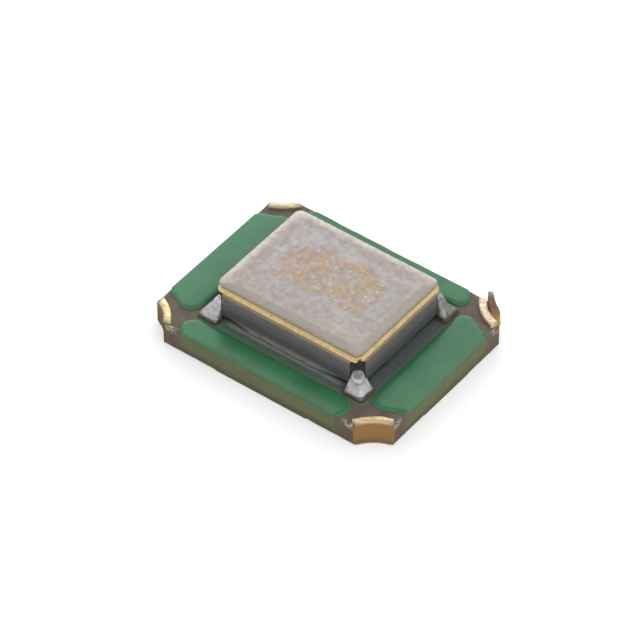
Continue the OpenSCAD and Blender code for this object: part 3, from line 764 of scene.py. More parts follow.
@dataclass
class CarrierBoard:
    """The laminate, its solder mask, and its four plated corners, as the part's source sizes them."""

    length: float = 3.24
    width: float = 2.46
    foot: float = 0.02
    top: float = 0.3
    mask: float = 0.025
    bore: float = 0.5
    plating: float = 0.02
    lip: dict[int, float] = field(default_factory=lambda: {1: 0.09, 2: 0.09, 3: 0.11, 4: 0.108})
    lip_t: float = 0.05
    setback: float = 0.05
    clearance: float = 0.7
    tip: float = 0.085
    window_tip: dict[int, float] = field(default_factory=lambda: {1: 0.155, 2: 0.165, 3: 0.12, 4: 0.14})
    window: tuple[float, float] = (2.33, 1.88)
    land: tuple[float, float] = (0.95, 0.78)
    land_setback: float = 0.03
    leg: tuple[float, float] = (0.33, 0.245)
    drift: dict[int, tuple[float, float]] = field(default_factory=lambda: {1: (0.06, 0), 4: (0.045, 0.045)})

    def hole(self, k: int) -> Array:
        """Centre of the hole at corner k, as seen from corner 3.

        The hole meets the long edge leg[0] and the short edge leg[1] from the corner: its centre is on
        the bisector of that chord, at the distance that makes the radius. Two holes are drilled off.
        """
        half = math.hypot(*self.leg) / 2
        out = math.sqrt(self.bore**2 - half**2) / (2 * half)
        place = np.array([self.length / 2 - self.leg[0] / 2 + out * self.leg[1],
                          self.width / 2 - self.leg[1] / 2 + out * self.leg[0]])
        return place + self.drift.get(k, (0, 0))

    def limits(self, k: int, radius: Array | float, setback: Array | float = 0.0) -> tuple[Array, Array]:
        """Angles at which circles round hole k meet the long and the short edge, moved in by setback."""
        dx = self.length / 2 - setback - self.hole(k)[0]
        dy = self.width / 2 - setback - self.hole(k)[1]
        radius = np.asarray(radius, float)
        start = np.pi + np.arctan2(-dy, np.sqrt(radius**2 - dy**2))
        end = 1.5 * np.pi + np.arctan2(dx, np.sqrt(radius**2 - dx**2))
        return start, end

    def bite(self, k: int, radius: float, setback: float = 0.0, count: int = 18) -> Array:
        """The hole's arc across corner k, as seen from corner 3, from the short edge to the long one."""
        start, end = np.degrees(self.limits(k, radius, setback))
        return arc(tuple(self.hole(k)), radius, float(end), float(start), count)

    def outline(self, radius: float) -> Array:
        """The board's outline, counter-clockwise, with a bite of this radius at each corner."""
        bites = {k: in_corner(self.bite(k, radius), k) for k in SIGNS}
        return np.concatenate([bites[2][::-1], bites[3], bites[4][::-1], bites[1]])

    def make_core(self, material: bpy.types.Material) -> None:
        """Laminate: the outline swept up with a sawn, slightly torn side.

        A side's inset is 1.5 microns plus two fields of noise over run and height, and the upper edge is
        broken by a few microns more. Mark fades from 1 to 0 over 0.35 mm from the plated walls, and is 0
        on the top where it meets them.
        """
        plan = resample(self.outline(self.bore + self.plating), 0.022)
        height = np.concatenate([[self.foot], np.linspace(self.foot + 0.006, self.top - 0.006, 13), [self.top]])
        run, level = np.meshgrid(run_length(plan), height, indexing="ij")
        torn = 0.0015 + 0.0015 * grain(run, 3 * level, 0.05, 3) + 0.0015 * grain(run, 8 * level, 0.12, 4)
        away = [np.linalg.norm(in_corner(plan, k) - self.hole(k), axis=1) for k in SIGNS]
        from_hole = np.min(away, axis=0) - self.bore - self.plating
        torn *= (from_hole > 1e-6)[:, None]
        torn[:, -1] += 0.004 * (from_hole > 0.03)
        profile = np.stack([np.zeros(len(height)), height], 1)
        chipped = np.clip(1 - from_hole / 0.35, 0, 1)[:, None]
        side = sweep(plan, profile, torn.clip(0))
        shell = Shell()
        index = shell.grid(side, mark=np.repeat(chipped, len(height), 1))
        shell.cap(index[:, 0])
        inner = sweep(plan, np.array([[0.02, self.top]]))
        flat = chipped * (from_hole > 1e-6)[:, None]
        top = shell.grid(np.concatenate([side[:, -1:], inner], 1), mark=np.repeat(flat, 2, 1))
        shell.cap(top[:, 1])
        shell.piece("laminate", material, ("board_core",))

    def strip(self, holes: tuple[Array, Array], tips: tuple[float, float], outer: float,
              inner: float) -> tuple[Array, Array]:
        """Outline of one mask strip in its own axes, and 1 for each point on a free edge.

        Each end is the path that two discs leave: round the window's corner, along the clearance circle
        and round the sawn edge's corner.

        Args:
            holes: centres of the holes beyond the two ends, each along and across, away from the middle.
            tips: radius of the disc at the window's corner, for each end.
            outer: the sawn edge's distance from the middle.
            inner: the window edge's distance from the middle.

        Returns:
            The closed outline and its flags.
        """
        ends = []
        for hole, tip in zip(holes, tips):
            reach = [self.clearance + radius for radius in (self.tip, tip)]
            first = (hole[0] - math.sqrt(reach[0] ** 2 - (hole[1] - outer + self.tip) ** 2), outer - self.tip)
            second = (hole[0] - math.sqrt(reach[1] ** 2 - (hole[1] - inner - tip) ** 2), inner + tip)
            to_first = math.degrees(math.atan2(hole[1] - first[1], hole[0] - first[0]))
            to_second = math.degrees(math.atan2(hole[1] - second[1], hole[0] - second[0]))
            ends.append(np.concatenate([
                arc(second, tip, -90, to_second, 12),
                arc(tuple(hole), self.clearance, 180 + to_second, 180 + to_first, 6)[1:-1],
                arc(first, self.tip, to_first, 90, 8)]))
        plan = np.concatenate([ends[0], ends[1][::-1] * (-1, 1)])
        free = np.concatenate([np.ones(len(ends[0]) - 1), [0.0, 0.0], np.ones(len(ends[1]) - 1)])
        return plan, free

    def make_mask(self, material: bpy.types.Material) -> None:
        """Solder mask: four strips with a soft meniscus at every free edge.

        The film's height at the distance d from a free edge is t * (1 - 0.6 (1 - d / w)^3) with w = 0.075.
        It is cut square where the board was sawn, and the back strip is worn thin there: its top edge
        draws back by up to 0.03 mm in the middle.
        """
        shell = Shell()
        steps = np.array([0, 0.004, 0.01, 0.02, 0.034, 0.053, 0.075])
        level = self.top + self.mask * (0.4 + 0.6 * (1 - (1 - steps / 0.075) ** 3))
        level[0] = self.top
        sawn = np.array([0, 0.0, 0.0005, 0.001, 0.002, 0.003, 0.006])
        sawn_level = self.top + self.mask * np.array([0, 0.2, 0.5, 0.75, 0.9, 1, 1])
        rise = np.linspace(0, 1, len(sawn))
        half = (self.length / 2, self.width / 2)
        gap = (self.window[0] / 2, self.window[1] / 2)
        for side, (plus, minus, crossed, sign, worn) in enumerate([
                (2, 1, False, -1, 0.004), (3, 4, False, 1, 0.03), (3, 2, True, 1, 0.004), (4, 1, True, -1, 0.002)]):
            order = -1 if crossed else 1
            plan, free = self.strip((self.hole(plus)[::order], self.hole(minus)[::order]),
                                    (self.window_tip[plus], self.window_tip[minus]),
                                    half[not crossed], gap[not crossed])
            whole = resample(np.concatenate([plan, free[:, None]], 1), 0.03)
            plan, free = whole[:, :2], np.round(whole[:, 2:])
            run = run_length(plan)[:, None]
            bare = worn * (1 - (plan[:, :1] / half[crossed]) ** 2) * (0.75 + 0.25 * grain(run, run * 0, 0.12, side))
            inset = free * steps + (1 - free) * (sawn + bare * rise)
            inset = inset + 0.003 * free * (1 + grain(run, free * 0 + 7 * side, 0.07, 11))
            rows = plan[:, None] - inset[..., None] * outward(plan)[:, None]
            height = free * level + (1 - free) * sawn_level
            points = np.concatenate([rows * (1, sign), height[..., None]], 2)
            if crossed:
                points = points[..., [1, 0, 2]]
            ends = np.clip((np.abs(plan[:, :1]) - half[crossed] + 0.62) / 0.15, 0, 1)
            rim = ends * free * np.clip(1.1 - steps / 0.022, 0, 1) + 0.3 * (1 - free) * (1 - rise)
            index = shell.grid(points, mark=rim)
            inner_ring = points[:, -1].copy()
            inner_ring[:, :2] += 0.003 * (inner_ring[:, :2].mean(0) - inner_ring[:, :2])
            last = shell.grid(np.stack([points[:, -1], inner_ring], 1))
            shell.cap(last[:, 1])
            shell.cap(index[:, 0])
        shell.piece("solder_mask", material, ("top_mask",))

    def make_terminal(self, k: int, material: bpy.types.Material, torn: bpy.types.Material) -> None:
        """Plated corner k: the lined wall and its piled up lip as one skin, and the land below.

        The skin's section goes round in (radius, height), and each section point runs along its own arc
        between the angles where that circle leaves the board: the lip's arcs stop short of the edges.
        """
        r, t, lip, z0, z1 = self.bore, self.plating, self.lip[k], self.foot, self.top
        z2 = z1 + self.lip_t
        knee = np.radians(np.linspace(0, 90, 7))
        section = np.concatenate([
            np.stack([np.full(10, r), np.linspace(z0, z2 - 0.022, 10)], 1),
            np.stack([r + 0.022 * (1 - np.cos(knee)), z2 - 0.022 + 0.02 * np.sin(knee)], 1)[1:],
            np.stack([r + np.array([0.034, 0.045, 0.056]), z2 - np.array([0.0005, 0, 0.0008])], 1),
            np.stack([r + lip - 0.028 * (1 - np.sin(knee)), z2 - 0.028 + 0.026 * np.cos(knee)], 1),
            [[r + lip, z1], [r + t, z1], [r + t, z0]]])
        setback = np.where(section[:, 0] > r + t + 1e-6, self.setback,
                           self.setback * np.clip((section[:, 1] - z1) / 0.006, 0, 1))
        start, end = self.limits(k, section[:, 0], setback)
        share = np.linspace(0, 1, 41)[:, None]
        angle = start + (end - start) * share
        wall = (section[:, 0] <= r + 1e-6) & (section[:, 1] > z0)
        radius = section[:, 0] + 0.0015 * (1 + grain(angle * 8, section[:, 1] * 30, 0.5, 20 + k)) * wall
        top = section[:, 1] > z1 + 0.004
        height = section[:, 1] - 0.0025 * (1 + grain(angle * 10, section[:, 0] * 20, 0.6, 25 + k)) * top
        hx, hy = self.hole(k)
        points = np.stack([hx + radius * np.cos(angle), hy + radius * np.sin(angle), height], 2)
        depth = np.clip((z2 - 0.008 - section[:, 1]) / 0.035, 0, 1) * (section[:, 0] < r + 0.03)
        shell = Shell()
        index = shell.grid(in_corner(points, k), round_u=False, round_v=True,
                           mark=np.broadcast_to(depth, angle.shape))
        shell.cap(index[0])
        shell.cap(index[-1])
        near = np.array([self.length / 2 - self.land[0], self.width / 2 - self.land[1]])
        far = np.array([self.length / 2 - self.land_setback, self.width / 2 - self.land_setback])
        land = np.concatenate([[near, [far[0], near[1]]], self.bite(k, r, self.land_setback), [[near[0], far[1]]]])
        shell.solid_sweep(in_corner(land, k)[::SIGNS[k][0] * SIGNS[k][1]],
                          np.array([[0.002, 0], [0, 0.002], [0, self.foot]]), mark=0.5)
        shell.piece(f"corner_terminal_{k}_plating", material, (f"corner_terminal_{k}",))
        if k == 3:
            self.make_sliver(torn)

    def make_sliver(self, material: bpy.types.Material) -> None:
        """The torn sliver at corner 3, a curved wedge with a blunt tip and a ragged crest.

        Along the arc (u from 0 to 1) the crest falls by 0.86 mm per millimetre, and the thickness goes
        from 0.065 at the tip over 0.12 at two thirds to 0.03. Up the sheet (v from 0 to 1) it leans and
        thins a little towards the crest.
        """
        start, end = (float(a) for a in self.limits(3, self.bore))
        start, end = start + math.radians(5.5), end - math.radians(6)
        u = np.linspace(0, 1, 49)[:, None]
        v = np.linspace(0, 1, 15)[None, :]
        angle = start + (end - start) * u
        tip = self.top + self.lip_t + 0.14
        fall = 0.86 * 2 * self.bore * np.sin((angle - start) / 2)
        crest = tip - 0.003 - fall - 0.005 * (1 + grain(u * 11, u * 0, 1.0, 31)) * np.sin(np.pi * u)
        foot = self.top - 0.14
        height = foot + (np.maximum(crest, foot + 0.004) - foot) * v
        thick = sum(np.interp(u + d, [0, 0.65, 1], [0.065, 0.12, 0.03]) for d in (-0.06, 0, 0.06)) / 3
        thick = thick * (1 - 0.12 * v**3) * (1 + 0.08 * grain(u * 8, v * 5 + 0 * u, 1.0, 33))
        outer = self.bore + 0.006 - 0.01 * v**2 * np.sin(np.pi * u)
        hx, hy = self.hole(3)
        sheets = []
        for radius, level in ((outer + 0 * height, height), (outer - thick / 2, height + 0.002),
                              (outer - thick, height)):
            sheets.append(np.stack([hx + radius * np.cos(angle), hy + radius * np.sin(angle), level], 2))
        points = np.concatenate([sheets[0], sheets[1][:, -1:], sheets[2][:, ::-1]], 1)
        mark = (points[..., 2] - foot) / (tip - foot)
        shell = Shell()
        index = shell.grid(points, round_u=False, round_v=True, mark=mark.clip(0, 1))
        shell.cap(index[0])
        shell.cap(index[-1])
        shell.piece("torn_sliver", material, ("corner_terminal_3",), 50.0)


@dataclass
class CornerJoint:
    """One corner's pad on the board, its solder, and the package's own terminal."""

    k: int
    climb: float
    full: float
    lump: float
    body: tuple[float, float] = (2.0, 1.55)
    pad_foot: float = 0.3
    foil: float = 0.02
    gap: float = 0.02
    terminal: tuple[float, float] = (0.65, 0.55)
    terminal_t: float = 0.01
    inset: float = 0.08
    side: float = 0.28
    side_round: float = 0.04
    bare: float = 0.01
    axis: float = 0.05
    head: float = 0.06
    foot_round: float = 0.08
    rise: float = 0.05
    notch: float = 0.12
    via: float = 0.1
    via_inset: float = 0.18

    @property
    def corner(self) -> tuple[float, float]:
        """The package's corner in plan, for corner 3."""
        return self.body[0] / 2, self.body[1] / 2

    @property
    def order(self) -> int:
        """1 where corner k keeps an outline's direction, -1 where it turns it round."""
        return SIGNS[self.k][0] * SIGNS[self.k][1]

    def share_out(self, plan: Array) -> Array:
        """How far out on the fillet points lie: 0 on its flat top, 1 at the pad's rim.

        The level curves are rounded squares whose half side, corner radius and centre go in step from
        the top's to the foot's. The one that passes through a point is found by halving.
        """
        foot, low, high = self.side / 2 - self.bare, np.zeros(plan.shape[:-1]), np.ones(plan.shape[:-1])
        for _ in range(16):
            share = (low + high) / 2
            half = self.head + (foot - self.head) * share
            turn = 0.8 * self.head + (self.foot_round - 0.8 * self.head) * share
            away = np.abs(plan + self.axis * (1 - share)[..., None]) - (half - turn)[..., None]
            beyond = np.linalg.norm(away.clip(0), axis=-1) + away.max(-1).clip(None, 0) > turn
            low, high = np.where(beyond, share, low), np.where(beyond, high, share)
        return (low + high) / 2

    def under_block(self, shell: Shell, foot: float, head: float, edge: float) -> None:
        """Adds the plate that lies under the package's terminal between two heights."""
        cx, cy = self.corner
        low = in_corner(np.array([cx - self.terminal[0], cy - self.terminal[1], foot]), self.k)
        high = in_corner(np.array([cx - self.inset, cy - self.inset, head]), self.k)
        shell.block(tuple(np.minimum(low, high)), tuple(np.maximum(low, high)), edge)

    def make_pad(self, material: bpy.types.Material) -> None:
        """Copper pad: a square round the corner, a plate under the package and the filled via below."""
        shell = Shell()
        z = self.pad_foot
        square = rounded_rectangle(self.side, self.side, self.side_round, 8) + self.corner
        edge = np.array([[0, z], [0, z + self.foil - 0.006], [0.002, z + self.foil - 0.002],
                         [0.006, z + self.foil], [0.02, z + self.foil]])
        shell.solid_sweep(in_corner(square, self.k)[:: self.order], edge)
        self.under_block(shell, z, z + self.foil, 0.004)
        cx, cy = self.corner
        post = arc((cx - self.via_inset, cy - self.via_inset), self.via, 0, 360, 32)[:-1]
        shell.solid_sweep(in_corner(post, self.k)[:: self.order], np.array([[0, 0.02], [0, z + 0.001]]))
        shell.piece(f"board_pad_{self.k}_metal", material, (f"board_pad_{self.k}",))

    def make_solder(self, material: bpy.types.Material) -> None:
        """Solder: a height field round the package's corner, and the layer under the terminal.

        Rays leave the package's corner. Outside the package a ray ends on the pad's rounded square, and
        inside the corner groove it ends on the groove's wall, so the solder hugs the ceramic. A plain
        fillet is (1 - s)^q high, with q such that half way out it is as full as it should be. A lump
        drops by a quarter close to its top and then bulges as 0.75 (1 - s^2.2)^0.9. Both rise a little
        further to the groove's wall. The solder is a soft maximum of the mixture and of a thin layer
        that rounds off at the pad's rim, where mark is 1; it is lower round a lump's drop.
        """
        half = self.side / 2 - self.bare
        turn = self.side_round - self.bare
        angle = np.concatenate([np.linspace(-90, 180, 91), np.linspace(180, 270, 25)])
        inside = np.concatenate([np.zeros(91, bool), np.ones(25, bool)])
        ray = np.stack([np.cos(np.radians(angle)), np.sin(np.radians(angle))], 1)
        flat = half / np.abs(ray).max(1)
        base = half - turn
        along = np.abs(ray).sum(1) * base
        bend = along + np.sqrt(np.maximum(along**2 - 2 * base**2 + turn**2, 0))
        at_corner = np.abs(ray * flat[:, None]).min(1) > base
        reach = np.where(at_corner, bend, flat)
        reach = reach * (1 - 0.02 * (1 + grain(angle / 25, angle * 0, 1.0, 40 + self.k)))
        reach[inside] = self.notch - self.terminal_t
        share = np.concatenate([np.linspace(0, 0.85, 24), [0.9, 0.94, 0.97, 0.99, 1.0]])
        plan = reach[:, None, None] * share[None, :, None] * ray[:, None, :]
        to_rim = np.where(inside, 1.0, reach)[:, None] - np.where(inside, 0.0, reach)[:, None] * share
        layer = self.gap * np.sqrt(1 - (1 - np.clip(to_rim / 0.018, 0, 1)) ** 2)
        whole = self.gap + self.climb
        power = -math.log2((self.gap + self.full * self.climb) / whole)
        out = self.share_out(plan)
        drop = np.clip(out / 0.2, 0, 1)
        bulge = 0.75 * (1 - out**2.2) ** 0.9 + 0.25 * (1 - drop * drop * (3 - 2 * drop))
        inward = np.clip(-plan.sum(2) / (self.notch * math.sqrt(2)), 0, 1)
        fillet = (whole - self.rise) * ((1 - self.lump) * (1 - out) ** power + self.lump * bulge)
        fillet = fillet + self.rise * inward * (1 - out)
        fillet = fillet + 0.01 * grain(plan[..., 0] * 12, plan[..., 1] * 12, 1.0, 50 + self.k) * (fillet > 0.03)
        top = (layer + fillet + np.sqrt((layer - fillet) ** 2 + 1.2e-4)) / 2
        top = np.minimum(top, self.gap + self.climb) * np.clip(to_rim / 0.004, 0, 1)
        z = self.pad_foot + self.foil
        upper = np.concatenate([plan + self.corner, (z + top)[..., None]], 2)
        ring = upper[:, -1:].copy()
        ring[..., 2] = z
        thin = np.clip(1.6 - fillet / self.gap, 0, 1)
        # painted shade: the band round a lump's drop takes the thin layer's dull colour
        thin = np.maximum(thin, 0.7 * self.lump * np.clip(1 - np.abs(out - 0.2) / 0.1, 0, 1))
        shell = Shell()
        index = shell.grid(in_corner(np.concatenate([upper, ring], 1), self.k),
                           mark=np.concatenate([thin, thin[:, -1:]], 1))
        shell.cap(index[:, -1])
        self.under_block(shell, z, z + self.gap, 0.003)
        shell.piece(f"solder_joint_{self.k}_fillet", material, (f"solder_joint_{self.k}",), 60.0)

    def make_terminal(self, material: bpy.types.Material) -> None:
        """The package's terminal: pad, plated corner groove, via and the printed track inside.

        The groove's plating is a quarter ring about the package's corner, swept up its height.
        """
        shell = Shell()
        cx, cy = self.corner
        z = self.pad_foot + self.foil + self.gap
        ring = np.concatenate([arc((cx, cy), self.notch, 270, 180, 16),
                               arc((cx, cy), self.notch - self.terminal_t, 180, 270, 16)])
        shell.solid_sweep(in_corner(ring, self.k)[:: self.order],
                          np.array([[0, z], [0, z + 0.305], [0.002, z + 0.31]]))
        wall = self.notch - self.terminal_t
        plate = np.concatenate([
            [[cx - self.terminal[0], cy - self.terminal[1]], [cx, cy - self.terminal[1]]],
            arc((cx, cy), wall, 270, 180, 16), [[cx - self.terminal[0], cy]]])
        shell.solid_sweep(in_corner(plate, self.k)[:: self.order],
                          np.array([[0.001, z], [0, z + 0.001], [0, z + self.terminal_t]]))
        floor = z + self.terminal_t + 0.09
        stub = arc((cx - 0.56, cy - 0.315), 0.04, 0, 360, 20)[:-1]
        shell.solid_sweep(in_corner(stub, self.k)[:: self.order], np.array([[0, z + 0.005], [0, floor + 0.004]]))
        bump_x = 0.3 if SIGNS[self.k][0] > 0 else 0.0
        for x0, y0, x1, y1 in ((bump_x - 0.03, 0.43, 0.47, 0.49), (bump_x - 0.03, 0.25, bump_x + 0.03, 0.43)):
            low = in_corner(np.array([x0, y0, floor]), self.k)
            high = in_corner(np.array([x1, y1, floor + 0.008]), self.k)
            shell.block(tuple(np.minimum(low, high)), tuple(np.maximum(low, high)), 0.001)
        shell.piece(f"package_terminal_{self.k}_metal", material,
                    (f"package_terminal_{self.k}",))


@dataclass
class CeramicPackage:
    """The ceramic body with its cavity, and the metal frame printed on its rim."""

    length: float = 2.0
    width: float = 1.55
    foot: float = 0.35
    head: float = 0.67
    notch: float = 0.12
    floor: float = 0.44
    shelf: float = 0.59
    cavity: tuple[float, float] = (1.62, 1.17)
    pit: tuple[float, float] = (-0.51, 0.81)
    break_half: float = 0.76
    break_out: float = 0.022
    break_drop: float = 0.038
    break_top: float = 0.38
    frame_t: float = 0.01

    def outline(self) -> Array:
        """Package outline with a quarter-round groove at each corner, counter-clockwise."""
        x, y = self.length / 2, self.width / 2
        turns = [((x, -y), 180, 90), ((x, y), 270, 180), ((-x, y), 0, -90), ((-x, -y), 90, 0)]
        return np.concatenate([arc(c, self.notch, a, b, 14) for c, a, b in turns])

    def on_rectangle(self, plan: Array, low: tuple[float, float], high: tuple[float, float]) -> Array:
        """Where rays from the middle through plan points leave a rectangle: the smaller of the two
        distances at which x reaches a side and y reaches a side."""
        ray = plan / np.linalg.norm(plan, axis=1, keepdims=True)
        reach = np.where(ray > 0, np.array(high), -np.array(low)) / np.maximum(np.abs(ray), 1e-9)
        return ray * reach.min(1, keepdims=True)

    def make_body(self, material: bpy.types.Material) -> None:
        """Ceramic body: the outline swept up with soft edges, then over the rim and down into the cavity.

        On the front side a ragged lip stands out at the foot, by a share of break_out that falls off
        towards its ends and wavers with noise; it hangs down by break_drop in step with that. The inner rows lie where rays from the middle cross the
        cavity's and the pit's rectangles.
        """
        plan = resample(self.outline(), 0.02)
        level = np.array([self.foot, self.foot + 0.004, self.foot + 0.012, self.foot + 0.02,
                          self.break_top - 0.004, self.break_top + 0.004, 0.44, 0.5, 0.55, 0.6,
                          self.head - 0.006, self.head - 0.002, self.head])
        inset = np.array([0.004, 0.001, 0, 0, 0, 0, 0, 0, 0, 0, 0, 0.001, 0.005])
        run, height = np.meshgrid(run_length(plan), level, indexing="ij")
        rough = 0.0012 * (1 + grain(run, height * 2, 0.045, 60))
        front = (plan[:, 1] < -self.width / 2 + 1e-6) & (np.abs(plan[:, 0]) < self.break_half)
        taper = np.clip((self.break_half - np.abs(plan[:, 0])) / 0.3, 0, 1) * front
        share = np.interp(level, [self.foot, self.foot + 0.006, self.break_top - 0.006, self.break_top + 0.003],
                          [0.85, 1.0, 0.45, 0.0])
        ragged = self.break_out * taper[:, None] * share * (0.8 + 0.2 * grain(run, height * 3, 0.05, 61))
        wall = sweep(plan, np.stack([inset, level], 1), rough - ragged)
        sunk = np.interp(level, [self.foot, self.break_top], [1.0, 0.0])
        wall[..., 2] -= self.break_drop * taper[:, None] * sunk
        marks = np.clip(ragged / self.break_out * 1.3, 0, 1)
        x, y = self.cavity[0] / 2, self.cavity[1] / 2
        rim = self.on_rectangle(plan, (-x, -y), (x, y))
        pit = self.on_rectangle(plan, (self.pit[0], -y + 1e-4), (self.pit[1] - 1e-4, y - 1e-4))
        inner = [(rim, self.head), (rim, self.shelf), (pit, self.shelf), (pit, self.floor)]
        rows = np.stack([np.concatenate([p, np.full((len(p), 1), z)], 1) for p, z in inner], 1)
        points = np.concatenate([wall, rows], 1)
        shell = Shell()
        mark = np.concatenate([marks, np.zeros((len(plan), len(inner)))], 1)
        index = shell.grid(points, mark=mark)
        shell.cap(index[:, -1])
        under = sweep(plan, np.array([[0.02, self.foot]]))
        foot = shell.grid(np.concatenate([wall[:, :1], under], 1))
        shell.cap(foot[:, 1])
        shell.piece("ceramic_package", material, ("ceramic_body",))


@dataclass
class SealRing:
    """The plated ring that the lid is welded to, with the braze under it."""

    length: float = 1.98
    width: float = 1.53
    radius: float = 0.095
    wall: float = 0.15
    foot: float = 0.67
    seat: float = 0.68
    head: float = 0.76
    dent: tuple[float, float] = (0.982, -0.727)

    def make(self, material: bpy.types.Material, braze: bpy.types.Material) -> None:
        """Ring: one closed section carried round a rounded rectangle.

        The section slopes in from the foot to a recess under the lid, runs over the top and comes down
        inside. The outer wall wavers by a micron or two, and the weld's steps nibble the upper edge
        every 0.09 mm.
        """
        plan = resample(rounded_rectangle(self.length, self.width, self.radius, 16), 0.015)
        section = np.array([
            [0.0, self.seat], [0.0, self.seat + 0.004], [0.004, 0.695], [0.01, 0.708], [0.0165, 0.721],
            [0.0225, 0.733], [0.0275, 0.742], [0.031, 0.748], [0.033, 0.754], [0.036, self.head],
            [0.06, self.head], [self.wall - 0.004, self.head], [self.wall, self.head - 0.004],
            [self.wall, self.seat]])
        run, height = np.meshgrid(run_length(plan), section[:, 1], indexing="ij")
        outer = (section[:, 0] < 0.034) & (section[:, 1] > self.seat)
        nibble = 0.0022 * (0.5 - 0.5 * np.cos(2 * np.pi * run / 0.09)) * (section[:, 1] > 0.745)
        shift = (0.0012 * (1 + grain(run, height * 4, 0.08, 70)) + nibble) * outer
        dull = np.interp(section[:, 1], [self.seat, 0.686, 0.692, 0.715, 0.733, 0.745], [0.3, 0.15, 0.0, 0.0, 0.5, 0.82])
        dent = self.dented(plan) * np.clip((0.714 - section[:, 1]) / 0.012, 0, 1) * (section[:, 0] < 0.034)
        shift = shift + 0.012 * dent * outer
        shell = Shell()
        shell.grid(sweep(plan, section, shift), round_v=True, mark=np.maximum(dull, dent))
        shell.piece("seal_ring_band", material, ("seal_ring",))
        printed = resample(rounded_rectangle(self.length, self.width, self.radius, 12), 0.03)
        layer = np.array([[0.001, self.foot], [0, self.foot + 0.004], [0, self.seat], [self.wall, self.seat],
                          [self.wall, self.foot]])
        frame_shell = Shell()
        notched = self.notched(printed)
        # where the ring is dented, the frame's braze takes the dark wall colour as painted shade
        frame_shell.grid(sweep(notched, layer), round_v=True, mark=np.repeat(self.dented(notched), len(layer), 1))
        frame_shell.piece("seal_frame", braze, ("seal_metal",))

    def dented(self, plan: Array) -> Array:
        """1 at the dent in the ring's front corner, fading to 0 within 0.05 mm, as one column."""
        return np.clip(1.6 - np.linalg.norm(plan - self.dent, axis=1) / 0.032, 0, 1)[:, None]

    def notched(self, plan: Array) -> Array:
        """Pulls outline points that overhang the body's corner grooves back to the grooves' edge."""
        corner = np.array([1.0, 0.775])
        away = corner - np.abs(plan)
        distance = np.linalg.norm(away, axis=1, keepdims=True)
        pulled = corner - away / distance * np.maximum(distance, 0.12)
        return np.sign(plan) * pulled


@dataclass
class Lid:
    """The welded nickel lid."""

    length: float = 1.955
    width: float = 1.505
    radius: float = 0.0825
    bevel: float = 0.112
    inner_radius: float = 0.13
    foot: float = 0.76
    rim: float = 0.785
    head: float = 0.805

    def make(self, material: bpy.types.Material) -> None:
        """Lid: rows that go from the rolled rim up the slope to a faintly dished middle.

        Each slope row lies between the lid's outline and an inner rounded rectangle, in step with its
        inset; further in, each row is the last one shrunk towards the middle. Weld steps press the rim
        every 0.09 mm, and the middle sinks by 2 microns. Mark reaches further up the two front slopes.
        """
        slope = np.array([
            [0.003, self.foot], [0.0005, self.foot + 0.005], [0, self.foot + 0.012], [0.001, self.rim - 0.006],
            [0.005, self.rim - 0.001], [0.012, self.rim + 0.0015], [0.03, self.rim + 0.0045],
            [0.055, self.rim + 0.0095], [0.08, self.rim + 0.015], [0.098, self.rim + 0.0178],
            [self.bevel, self.head - 0.0012]])
        outer = rounded_rectangle(self.length, self.width, self.radius, 16)
        inner = rounded_rectangle(self.length - 2 * self.bevel, self.width - 2 * self.bevel, self.inner_radius, 16)
        plan = resample(np.concatenate([outer, inner], 1), 0.02)
        run, level = np.meshgrid(run_length(plan[:, :2]), slope[:, 1], indexing="ij")
        near = np.clip(1 - slope[:, 0] / 0.05, 0, 1) * (slope[:, 1] > self.foot + 0.008)
        press = (0.5 - 0.5 * np.cos(2 * np.pi * run / 0.09)) * near
        inset = slope[:, 0] + 0.0018 * press + 0.001 * (1 + grain(run, level * 4, 0.1, 80)) * near
        share = (inset / self.bevel)[..., None]
        edge = np.concatenate([plan[:, None, :2] * (1 - share) + plan[:, None, 2:] * share, level[..., None]], 2)
        edge[..., 2] -= 0.0022 * press * (slope[:, 1] >= self.rim - 0.002)
        last = edge[:, -1, :2]
        shrink = np.array([0.985, 0.95, 0.9, 0.8, 0.65, 0.5, 0.3, 0.12])
        inner = last[:, None] * shrink[None, :, None]
        dish = self.head - 0.0006 - 0.0016 * (1 - shrink**2)
        dish = dish + 0.0005 * grain(inner[..., 0], inner[..., 1], 0.3, 81)
        rows = np.concatenate([inner, dish[..., None]], 2)
        points = np.concatenate([edge, rows], 1)
        normal = outward(plan[:, :2])
        front = np.clip(0.5 + 0.5 * (normal[:, :1] - normal[:, 1:]), 0, 1)
        rim = 0.6 * np.clip(1.15 + 0.35 * front - slope[:, 0] / 0.1, 0, 1)
        rim = np.where(slope[:, 1] < self.rim - 0.002, 1.0, rim)
        fading = np.clip((shrink - 0.9) / 0.2, 0, 1) * front * 0.6
        bright = np.concatenate([rim, fading], 1)
        shell = Shell()
        index = shell.grid(points, mark=bright)
        shell.cap(index[:, 0])
        shell.cap(index[:, -1])
        shell.piece("welded_lid", material, ("lid",), 40.0)


